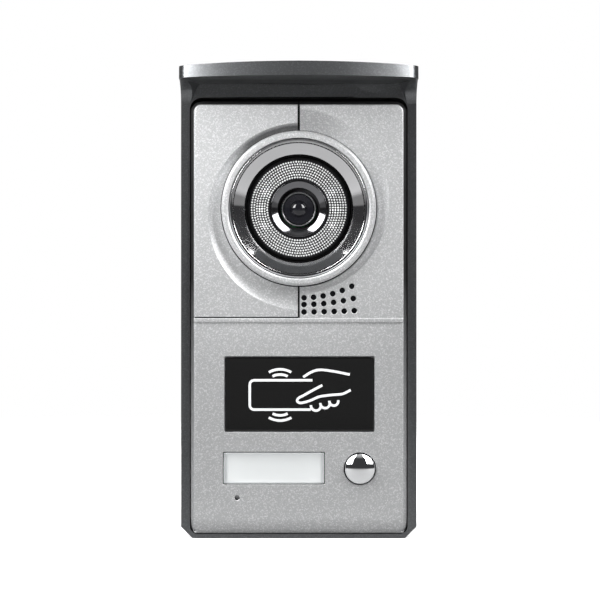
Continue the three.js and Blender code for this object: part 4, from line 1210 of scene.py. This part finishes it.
def lean_lip_back(mesh):
    """Leans the visor's front face back towards its top: y += lean (z - underside) where the visor
    reaches beyond the frame, in proportion to how far it does."""
    points = mesh_points(mesh)
    lean, underside, frame_front, reach = 0.3, 89.2 * MM, -24.0 * MM, -50.5 * MM
    share = np.clip((points[:, 1] - frame_front) / (reach - frame_front), 0, 1) ** 2
    points[:, 1] += lean * np.clip(points[:, 2] - underside, 0, None) * share
    mesh.vertices.foreach_set("co", points.ravel())


def merged_copy(node):
    """A copy of a CAD node's mesh with its loose triangles merged and its flat faces joined."""
    shape = bmesh.new()
    shape.from_mesh(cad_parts[node].data)
    bmesh.ops.remove_doubles(shape, verts=shape.verts, dist=2e-6)
    bmesh.ops.dissolve_limit(
        shape, angle_limit=np.radians(0.8), verts=shape.verts, edges=shape.edges, delimit={"NORMAL"},
    )
    mesh = bpy.data.meshes.new(node + "_copy")
    shape.to_mesh(mesh)
    shape.free()
    mesh.polygons.foreach_set("use_smooth", np.ones(len(mesh.polygons), bool))
    mesh.set_sharp_from_angle(angle=np.radians(30))
    return mesh


class INTERCOM_OT_front_panel(IntercomBuild, bpy.types.Operator):
    """Makes the silver front panel with its dishes, seams, belt and holes"""

    bl_idname = "intercom.front_panel"
    bl_label = "Front Panel"

    def execute(self, context):
        points, faces, painted_shade = front_panel_mesh(context.scene.intercom_sizes.edge / MM)
        plate = new_piece("front_plate", points, faces, "intercom", silver_paint(), "silver_paint",
                          ["front_panel"])
        # Painted shade for the seams, the line above the belt, the rim's slope, the dishes and the walls.
        give_values(plate, "painted_shade", painted_shade)
        return {"FINISHED"}


class INTERCOM_OT_camera_rings(IntercomBuild, bpy.types.Operator):
    """Makes the rings round the camera: bezel, chrome trim and shroud"""

    bl_idname = "intercom.camera_rings"
    bl_label = "Camera Rings"

    def execute(self, context):
        middle = face_centre("bezel_ring")
        rings = (
            ("silver_bezel", silver_paint, "silver_paint", "bezel_ring",
             [(28.2, 19.1), (31.1, 19.1), (31.1, 28.9), (30.2, 30), (28.9, 30), (28.2, 29.6)],
             [0.1, 0.1, 0.7, 0.5, 0.3, 0.25]),
            ("chrome_funnel", smoked_chrome, "chrome", "chrome_trim_ring",
             [(26.5, 19.1), (27.95, 19.1), (27.95, 29.0), (27.5, 29.4), (26.6, 29.2), (26.2, 28.2),
              (21.9, 24.6), (21.9, 22.2), (22.6, 22.2), (22.6, 23.8), (26.5, 26.8)],
             [0.1, 0.1, 0.3, 0.3, 0.4, 0.2, 0.2, 0.1, 0.1, 0.1, 0.1]),
            ("black_shroud", black_chrome, "black_gloss", "lens_shroud",
             [(10.3, 17.4), (11.4, 17.4), (11.4, 23.5), (11, 23.5), (8.5, 22.0), (8.5, 19.9), (9.1, 19.9),
              (10.3, 21.8)],
             [0.05, 0.05, 0.2, 0.15, 0.25, 0.1, 0.1, 0.1]),
        )
        for name, material, slot_name, node, profile, radii in rings:
            points, faces = turned(rounded(profile, radii, 5), middle, 192)
            new_piece(name, points, faces, "intercom", material(), slot_name, [node])
        return {"FINISHED"}


class INTERCOM_OT_carrier(IntercomBuild, bpy.types.Operator):
    """Makes the black carrier's front ring"""

    bl_idname = "intercom.carrier"
    bl_label = "Lens Carrier"

    def execute(self, context):
        middle = face_centre("bezel_ring")
        mesh_points, faces = turned(rounded([
            (20.4, 19), (21.6, 19), (21.6, 24), (20.4, 24),
        ], [0.05, 0.05, 0.45, 0.3], 6), middle, 192)
        new_piece("carrier_rim", mesh_points, faces, "intercom", gloss_black(), "black_gloss")
        return {"FINISHED"}


class INTERCOM_OT_diffuser(IntercomBuild, bpy.types.Operator):
    """Makes the clear diffuser ring with its rings of round bumps"""

    bl_idname = "intercom.diffuser"
    bl_label = "Diffuser"

    def execute(self, context):
        sizes = context.scene.intercom_sizes
        points, faces, tops = diffuser_mesh(sizes.bump_pitch / MM, sizes.bump_rise / MM)
        piece = new_piece("bumped_diffuser", points, faces, "intercom", diffuser_plastic(),
                          "clear_plastic", ["diffuser_ring"])
        # The bump tops and the lamps' painted light set where the diffuser gets its painted highlight.
        give_values(piece, "bump_top", tops)
        give_values(piece, "painted_lamp_light", painted_lamp_light(points))
        return {"FINISHED"}


def painted_lamp_light(points):
    """Painted light of the lamps behind the diffuser, for its colour: the sum over the lamps of exp(-(d /
    spread)^2).
    """
    spread = 1.5
    lamps = np.array([face_centre(f"infrared_led_{i}") for i in range(1, 7)])
    away = np.hypot(*(points[:, None, :2] - lamps[None]).transpose(2, 0, 1))
    return np.exp(-(away / spread) ** 2).sum(1)


def diffuser_mesh(pitch, rise):
    """A ring whose front carries rings of round bumps: z = base + rise sqrt(1 - d^2), where d is the
    distance to the nearest bump's centre over the bump's half width, and base where d > 1."""
    low, high = face_box("diffuser_ring")
    middle = face_centre("diffuser_ring")
    inner, outer = 11.7, (high[0] - low[0]) / 2
    margin, around, steps_across_bump = 0.05, 840, 7
    rings = int((outer - inner) / pitch)
    start = inner + (outer - inner - rings * pitch) / 2
    radius = np.linspace(inner + margin, outer - margin, rings * steps_across_bump + 1)[:, None]
    angle = (np.arange(around) * TURN / around)[None]
    ring = np.clip(((radius - start) / pitch).astype(int), 0, rings - 1)
    ring_radius = start + (ring + 0.5) * pitch
    count = np.round(TURN * ring_radius / pitch)
    turn_share = (angle / TURN * count) % 1 - 0.5
    across = (radius - ring_radius) / (0.5 * pitch)
    along = turn_share * 2
    far = np.clip(across ** 2 + along ** 2, 0, 1)
    base = high[2] - rise
    front = base + rise * np.sqrt(1 - far) * 0.98
    lines = np.concatenate([
        np.full((1, around), low[2]), np.full((1, around), base - 0.1), front,
        np.full((1, around), base - 0.1), np.full((1, around), low[2]),
    ])
    radii = np.concatenate([[[inner], [inner]], radius, [[outer], [outer]]])
    x, y = middle[0] + radii * np.cos(angle), middle[1] + radii * np.sin(angle)
    points = np.stack([x, y, lines], -1).reshape(-1, 3)
    tops = np.zeros(lines.shape)
    tops[2:-2] = np.sqrt(1 - far)
    return points, grid_faces(len(radii), around, True, True), tops.ravel()


@made_once
def diffuser_plastic(name):
    """Prismatic plastic over the lamps: dark between its bumps, with a painted highlight on them that is
    brightest before each lamp, where the lamps' light is painted on too.
    """
    material = new_material(name, "Handled Gloss", {
        "Colour": (0.01, 0.01, 0.011, 1), "Roughness": 0.14, "Smears": 0.04, "Dust": 0.02, "Relief": 0.03,
    })
    nodes, link = material.node_tree.nodes, material.node_tree.links.new
    shader = nodes["Principled BSDF"]
    top = add_node(nodes, "ShaderNodeAttribute", attribute_name="bump_top")
    glow = add_node(nodes, "ShaderNodeAttribute", attribute_name="painted_lamp_light")
    steep = add_node(nodes, "ShaderNodeMapRange", interpolation_type="SMOOTHSTEP")
    steep.inputs["From Min"].default_value = 0.5
    steep.inputs["From Max"].default_value = 0.95
    link(top.outputs["Fac"], steep.inputs["Value"])
    lit = nodes.new("ShaderNodeMapRange")
    for label, value in (("From Min", 0), ("From Max", 1), ("To Min", 0.55), ("To Max", 1.0)):
        lit.inputs[label].default_value = value
    link(glow.outputs["Fac"], lit.inputs["Value"])
    amount = add_node(nodes, "ShaderNodeMath", operation="MULTIPLY")
    link(steep.outputs[0], amount.inputs[0])
    link(lit.outputs[0], amount.inputs[1])
    mixed = add_node(nodes, "ShaderNodeMix", data_type="RGBA")
    # Colour of the painted highlight on the bumps.
    mixed.inputs["B"].default_value = (0.85, 0.86, 0.86, 1)
    link(amount.outputs[0], mixed.inputs["Factor"])
    link(shader.inputs["Base Color"].links[0].from_socket, mixed.inputs["A"])
    link(mixed.outputs["Result"], shader.inputs["Base Color"])
    return material


class INTERCOM_OT_lens(IntercomBuild, bpy.types.Operator):
    """Makes the lens barrel, its light ring and the domed front lens"""

    bl_idname = "intercom.lens"
    bl_label = "Lens"

    def execute(self, context):
        middle = face_centre("lens_barrel")
        barrel = rounded([
            (5.9, 9.2), (6.2, 9.2), (6.2, 10), (7.1, 10), (7.1, 19.6), (6.9, 20.1), (6.3, 20.1),
            (6.1, 19.4), (5.9, 19.4),
        ], [0.1, 0.1, 0.1, 0.1, 0.1, 0.1, 0.1, 0.1, 0.05], 4)
        ring = rounded([
            (6.45, 20.0), (6.95, 20.0), (6.9, 20.35), (6.5, 20.35),
        ], [0.02, 0.02, 0.14, 0.14], 4)
        new_piece("barrel_ring", *turned(ring, middle, 128), "camera", bare_steel(), "steel")
        new_piece("barrel_tube", *turned(barrel, middle, 128), "camera", black_chrome(), "black_gloss",
                  ["lens_barrel"])
        new_piece("lens_dome", *turned(lens_profile(), middle, 128), "camera", coated_glass(), "lens_glass",
                  ["front_lens"], weld=True)
        return {"FINISHED"}


def lens_profile():
    """A bulging glass in the middle of a holder ring that steps down towards it in fine ridges:
    z = rim + ridge |sin|, then an arc of the glass's ball up to the axis."""
    low, high = face_box("front_lens")
    holder, glass, ball = 6.0, 3.3, 4.2
    edge = high[2] - (ball - np.sqrt(ball ** 2 - glass ** 2))
    radius = np.linspace(holder, glass + 0.15, 29)
    share = (holder - radius) / (holder - glass)
    ridges = low[2] + 0.45 - 0.25 * share + 0.05 * np.abs(np.sin(share * np.pi * 6))
    dome = dome_profile(glass, edge, high[2], 20)
    return np.concatenate([[(0, low[2]), (holder, low[2])], np.column_stack([radius, ridges]), dome])


class INTERCOM_OT_lamps(IntercomBuild, bpy.types.Operator):
    """Makes the six infrared lamps with their domed tops"""

    bl_idname = "intercom.lamps"
    bl_label = "Infrared Lamps"

    def execute(self, context):
        for i in range(6):
            node = f"infrared_led_{i + 1}"
            low, high = face_box(node)
            flange, body = (high[0] - low[0]) / 2, 2.3
            step = low[2] + 0.8
            dome = dome_profile(body - 0.05, high[2] - 1.5, high[2], 10)
            profile = np.concatenate([
                [(0, low[2]), (flange, low[2]), (flange, step - 0.1), (flange - 0.1, step), (body, step)],
                dome,
            ])
            new_piece(f"lamp_{i + 1}", *turned(profile, face_centre(node), 40), "intercom", frosted_white(),
                      "frosted_white", [node], weld=True)
        return {"FINISHED"}


class INTERCOM_OT_reader(IntercomBuild, bpy.types.Operator):
    """Makes the black reader window and the picture of a card held in a hand printed on it"""

    bl_idname = "intercom.reader"
    bl_label = "Reader Window"

    def execute(self, context):
        low, high = face_box("reader_window")
        new_piece("reader_glass", *bevelled_block(low, high, 0.4, 0.45), "intercom", gloss_black(),
                  "black_gloss", ["reader_window"])
        colours = context.scene.intercom_colours
        ink = new_material("printed_lines", "Moulded Grain", {
            "Colour": (*colours.ink, 1), "Roughness": 0.4, "Grain Size": 0.2, "Relief": 0.1,
            "Variation": 0.1,
        })
        points, faces = reader_picture((low + high) / 2, high[2], context.scene.intercom_sizes.stroke / MM)
        new_piece("reader_picture", points, faces, "intercom", ink, "frosted_white")
        return {"FINISHED"}


def bevelled_block(low, high, corner, bevel, back_bevel=0.05):
    """A block with round corners and a rounded front edge: rounded rectangles, each moved in by
    bevel (1 - cos t) and out by bevel sin t, carried from back to front and closed at both ends."""
    turn = np.linspace(0, np.pi / 2, 6)
    insets = [back_bevel, 0, *(bevel * (1 - np.cos(turn))), bevel * 1.5]
    heights = [low[2], low[2] + back_bevel, *(high[2] - bevel + bevel * np.sin(turn)), high[2]]
    rings = []
    for inset, height in zip(insets, heights):
        outline = rounded_outline(low, high, corner, corner, 0, 1e9, 7)
        centre = (low[:2] + high[:2]) / 2
        half = (high[:2] - low[:2]) / 2
        outline = centre + (outline - centre) * (half - inset) / half
        rings.append(np.column_stack([outline, np.full(len(outline), height)]))
    count = len(rings[0])
    points = np.concatenate(rings)
    faces = [*grid_faces(len(rings), count, False, True)]
    last = (len(rings) - 1) * count
    faces += [np.arange(count)[::-1], np.arange(count) + last]
    return points, faces


def ribbon(path, width, low, high):
    """A flat stroke along a path: at each point the path's normal carries the two edges out by half the
    width, at two heights, and both ends are closed."""
    path = np.asarray(path, float)
    ahead = np.gradient(path, axis=0)
    normal = np.column_stack([-ahead[:, 1], ahead[:, 0]]) / np.hypot(*ahead.T)[:, None]
    left, right = path + normal * width / 2, path - normal * width / 2
    count = len(path)
    sides = [(left, low), (right, low), (right, high), (left, high)]
    points = np.stack([np.column_stack([p, np.full(count, z)]) for p, z in sides], 1).reshape(-1, 3)
    faces = [*grid_faces(count, 4, False, True), np.arange(4), np.arange(4)[::-1] + (count - 1) * 4]
    return points, faces


def curve_through(points, steps=10):
    """A smooth line through points: between two of them a cubic whose slopes are half the difference of
    the neighbours (Catmull-Rom)."""
    points = np.asarray(points, float)
    padded = np.concatenate([[2 * points[0] - points[1]], points, [2 * points[-1] - points[-2]]])
    t = (np.arange(steps) / steps)[:, None, None]
    a, b, c, d = padded[:-3], padded[1:-2], padded[2:-1], padded[3:]
    line = 0.5 * (2 * b + (c - a) * t + (2 * a - 5 * b + 4 * c - d) * t ** 2
                  + (3 * b - a - 3 * c + d) * t ** 3)
    return np.concatenate([line.transpose(1, 0, 2).reshape(-1, 2), points[-1:]])


def arc_line(centre, radius, start, end, steps=24):
    """Points along an arc between two angles in degrees: centre + radius (cos, sin)."""
    angle = np.radians(np.linspace(start, end, steps))
    return np.column_stack([centre[0] + radius * np.cos(angle), centre[1] + radius * np.sin(angle)])


def reader_picture(centre, surface, width):
    """A card with rounded corners, waves above and below it, and a hand that holds its right end."""
    card_left, card_right, card_low, card_top, corner = -20.0, 5.0, -6.2, 5.6, 1.8
    card = np.concatenate([
        [(card_right + 0.2, card_top)],
        arc_line((card_left + corner, card_top - corner), corner, 90, 180, 8),
        arc_line((card_left + corner, card_low + corner), corner, 180, 270, 8),
        [(card_right - 0.5, card_low)],
    ])
    strokes = [card]
    wave_x = -7.8
    for side in (1, -1):
        base = card_top if side > 0 else card_low
        for reach, half in ((2.3, 26), (4.4, 30)):
            middle = 90 * side
            strokes.append(arc_line((wave_x, base - side * 4.6), 4.6 + reach, middle - half, middle + half))
    strokes.append(curve_through([(1.5, 6.9), (4.8, 8.9), (8.2, 9.8), (13.6, 9.2), (20.2, 7.9)]))
    strokes.append(curve_through([
        (9.2, 3.6), (5.4, 1.6), (1.8, -0.4), (-0.4, -1.6), (-0.9, -2.8), (0.6, -3.5),
        (4.2, -2.6), (8.0, -1.0), (13.0, -0.3), (17.2, 0.1), (20.6, 1.7),
    ]))
    for x, y, size in ((6.6, -4.6, 2.0), (10.3, -3.7, 1.9), (13.8, -2.8, 1.8)):
        strokes.append(arc_line((x, y), size, 175, 372, 18))
    thickness, lift = 0.05, 0.003
    parts = [
        ribbon(stroke + centre[:2], width, surface - 0.02, surface + thickness + lift * i)
        for i, stroke in enumerate(strokes)
    ]
    return joined(parts)


class INTERCOM_OT_name_plate(IntercomBuild, bpy.types.Operator):
    """Makes the clear name-plate cover and the blank name card with its field"""

    bl_idname = "intercom.name_plate"
    bl_label = "Name Plate"

    def execute(self, context):
        low, high = face_box("label_cover")
        pane_back, leg_half = 25.7, 3.6
        pane = bevelled_block(np.array([*low[:2], pane_back]), high, 0.5, 0.5)
        legs = [
            bevelled_block(
                np.array([min(x, x + side), -leg_half + (low[1] + high[1]) / 2, low[2]]),
                np.array([max(x, x + side), leg_half + (low[1] + high[1]) / 2, pane_back]), 0.2, 0.05)
            for x, side in ((low[0] + 0.02, 1), (high[0] - 0.02, -1))
        ]
        new_piece("clear_pane", *joined([pane, *legs]), "name_cover", clear_cover(), "clear_plastic",
                  ["label_cover"])
        low, high = face_box("label_card")
        new_piece("blank_card", *bevelled_block(low, high, 0.6, 0.05), "intercom", name_card(),
                  "card_paper", ["label_card"])
        centre = (low[:2] + high[:2]) / 2
        field_half = (14.3, 4.4)
        field_low, field_high = centre - field_half, centre + field_half
        new_piece("card_field", *bevelled_block(
            np.array([*field_low, high[2]]), np.array([*field_high, high[2] + 0.03]), 1.2, 0.01, 0.005),
            "intercom", card_print(), "card_paper")
        return {"FINISHED"}


class INTERCOM_OT_call_button(IntercomBuild, bpy.types.Operator):
    """Makes the domed call button with its flange and stem"""

    bl_idname = "intercom.call_button"
    bl_label = "Call Button"

    def execute(self, context):
        low, high = face_box("button_cap")
        middle = face_centre("button_cap")
        flange = (high[0] - low[0]) / 2
        cap, edge, rim = 6.05, 27.5, 0.35
        stem, flange_back, flange_front = 2.0, 22.9, 24.1
        dome = dome_profile(cap - rim * 0.3, edge + rim * 0.55, high[2], 24)
        profile = np.concatenate([
            [(0, low[2]), (stem, low[2]), (stem, flange_back), (flange, flange_back),
             (flange, flange_front), (cap, flange_front), (cap, edge)],
            dome,
        ])
        button = new_piece("button_dome", *turned(profile, middle, 128), "call_button", polished_chrome(),
                           "chrome", ["button_cap"], weld=True)
        # Painted shade: the cap's side, flange and stem below the dome's edge are painted black, fading up
        # the side, as shade in the button's hole.
        give_values(button, "painted_shade", -mesh_points(button.data)[:, 1] / MM < edge - 0.01)
        return {"FINISHED"}


class INTERCOM_OT_inner_parts(IntercomBuild, bpy.types.Operator):
    """Gives every CAD part that is still shown its finish"""

    bl_idname = "intercom.inner_parts"
    bl_label = "Inner Parts"

    def execute(self, context):
        finishes = (
            (matte_black, ("rear_housing", "camera_cradle", "button_guide", "switch_body",
                           "power_capacitor", "video_processor")),
            (gloss_black, ("lens_carrier",)),
            (black_rubber, ("panel_gasket", "microphone_boot")),
            (bare_brass, ("threaded_insert",)),
            (frosted_white, ("label_light_guide", "switch_plunger")),
            (dark_cloth, ("speaker_cone", "speaker_dust_screen")),
            (green_board, ("main_board", "reader_antenna_board", "sensor_board")),
            (black_board, ("led_board",)),
            (relay_blue, ("door_relay",)),
            (terminal_green, ("terminal_block",)),
            (bare_steel, ("security_screw", "camera_bracket", "speaker_basket", "speaker_magnet",
                          "button_spring", "microphone_capsule",
                          *(f"case_screw_{i}" for i in range(1, 5)),
                          *(f"carrier_screw_{i}" for i in range(1, 4)),
                          *(f"board_screw_{i}" for i in range(1, 5)),
                          *(f"terminal_screw_{i}" for i in range(1, 5)))),
        )
        for material, nodes in finishes:
            for node in nodes:
                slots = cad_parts[node].data.materials
                slots.clear()
                slots.append(material())
        return {"FINISHED"}


BUILDERS = (
    INTERCOM_OT_stage,
    INTERCOM_OT_rain_hood,
    INTERCOM_OT_front_panel,
    INTERCOM_OT_camera_rings,
    INTERCOM_OT_carrier,
    INTERCOM_OT_diffuser,
    INTERCOM_OT_lens,
    INTERCOM_OT_lamps,
    INTERCOM_OT_reader,
    INTERCOM_OT_name_plate,
    INTERCOM_OT_call_button,
    INTERCOM_OT_inner_parts,
)


class INTERCOM_PT_pieces(bpy.types.Panel):
    """Lists the intercom's sizes, colours and building steps"""

    bl_label = "Door Intercom"
    bl_idname = "INTERCOM_PT_pieces"
    bl_space_type = "VIEW_3D"
    bl_region_type = "UI"
    bl_category = "Intercom"

    def draw(self, context):
        for group in (context.scene.intercom_sizes, context.scene.intercom_colours):
            for name in group.bl_rna.properties.keys():
                if name not in {"rna_type", "name"}:
                    self.layout.prop(group, name)
        for builder in BUILDERS:
            self.layout.operator(builder.bl_idname)


CLASSES = (IntercomSizes, IntercomColours, *BUILDERS, INTERCOM_PT_pieces)


def register():
    for item in CLASSES:
        bpy.utils.register_class(item)
    bpy.types.Scene.intercom_sizes = bpy.props.PointerProperty(type=IntercomSizes)
    bpy.types.Scene.intercom_colours = bpy.props.PointerProperty(type=IntercomColours)


def unregister():
    del bpy.types.Scene.intercom_colours
    del bpy.types.Scene.intercom_sizes
    for item in reversed(CLASSES):
        bpy.utils.unregister_class(item)


def main():
    register()
    for builder in BUILDERS:
        group, name = builder.bl_idname.split(".")
        getattr(getattr(bpy.ops, group), name)()


if __name__ == "__main__":
    main()
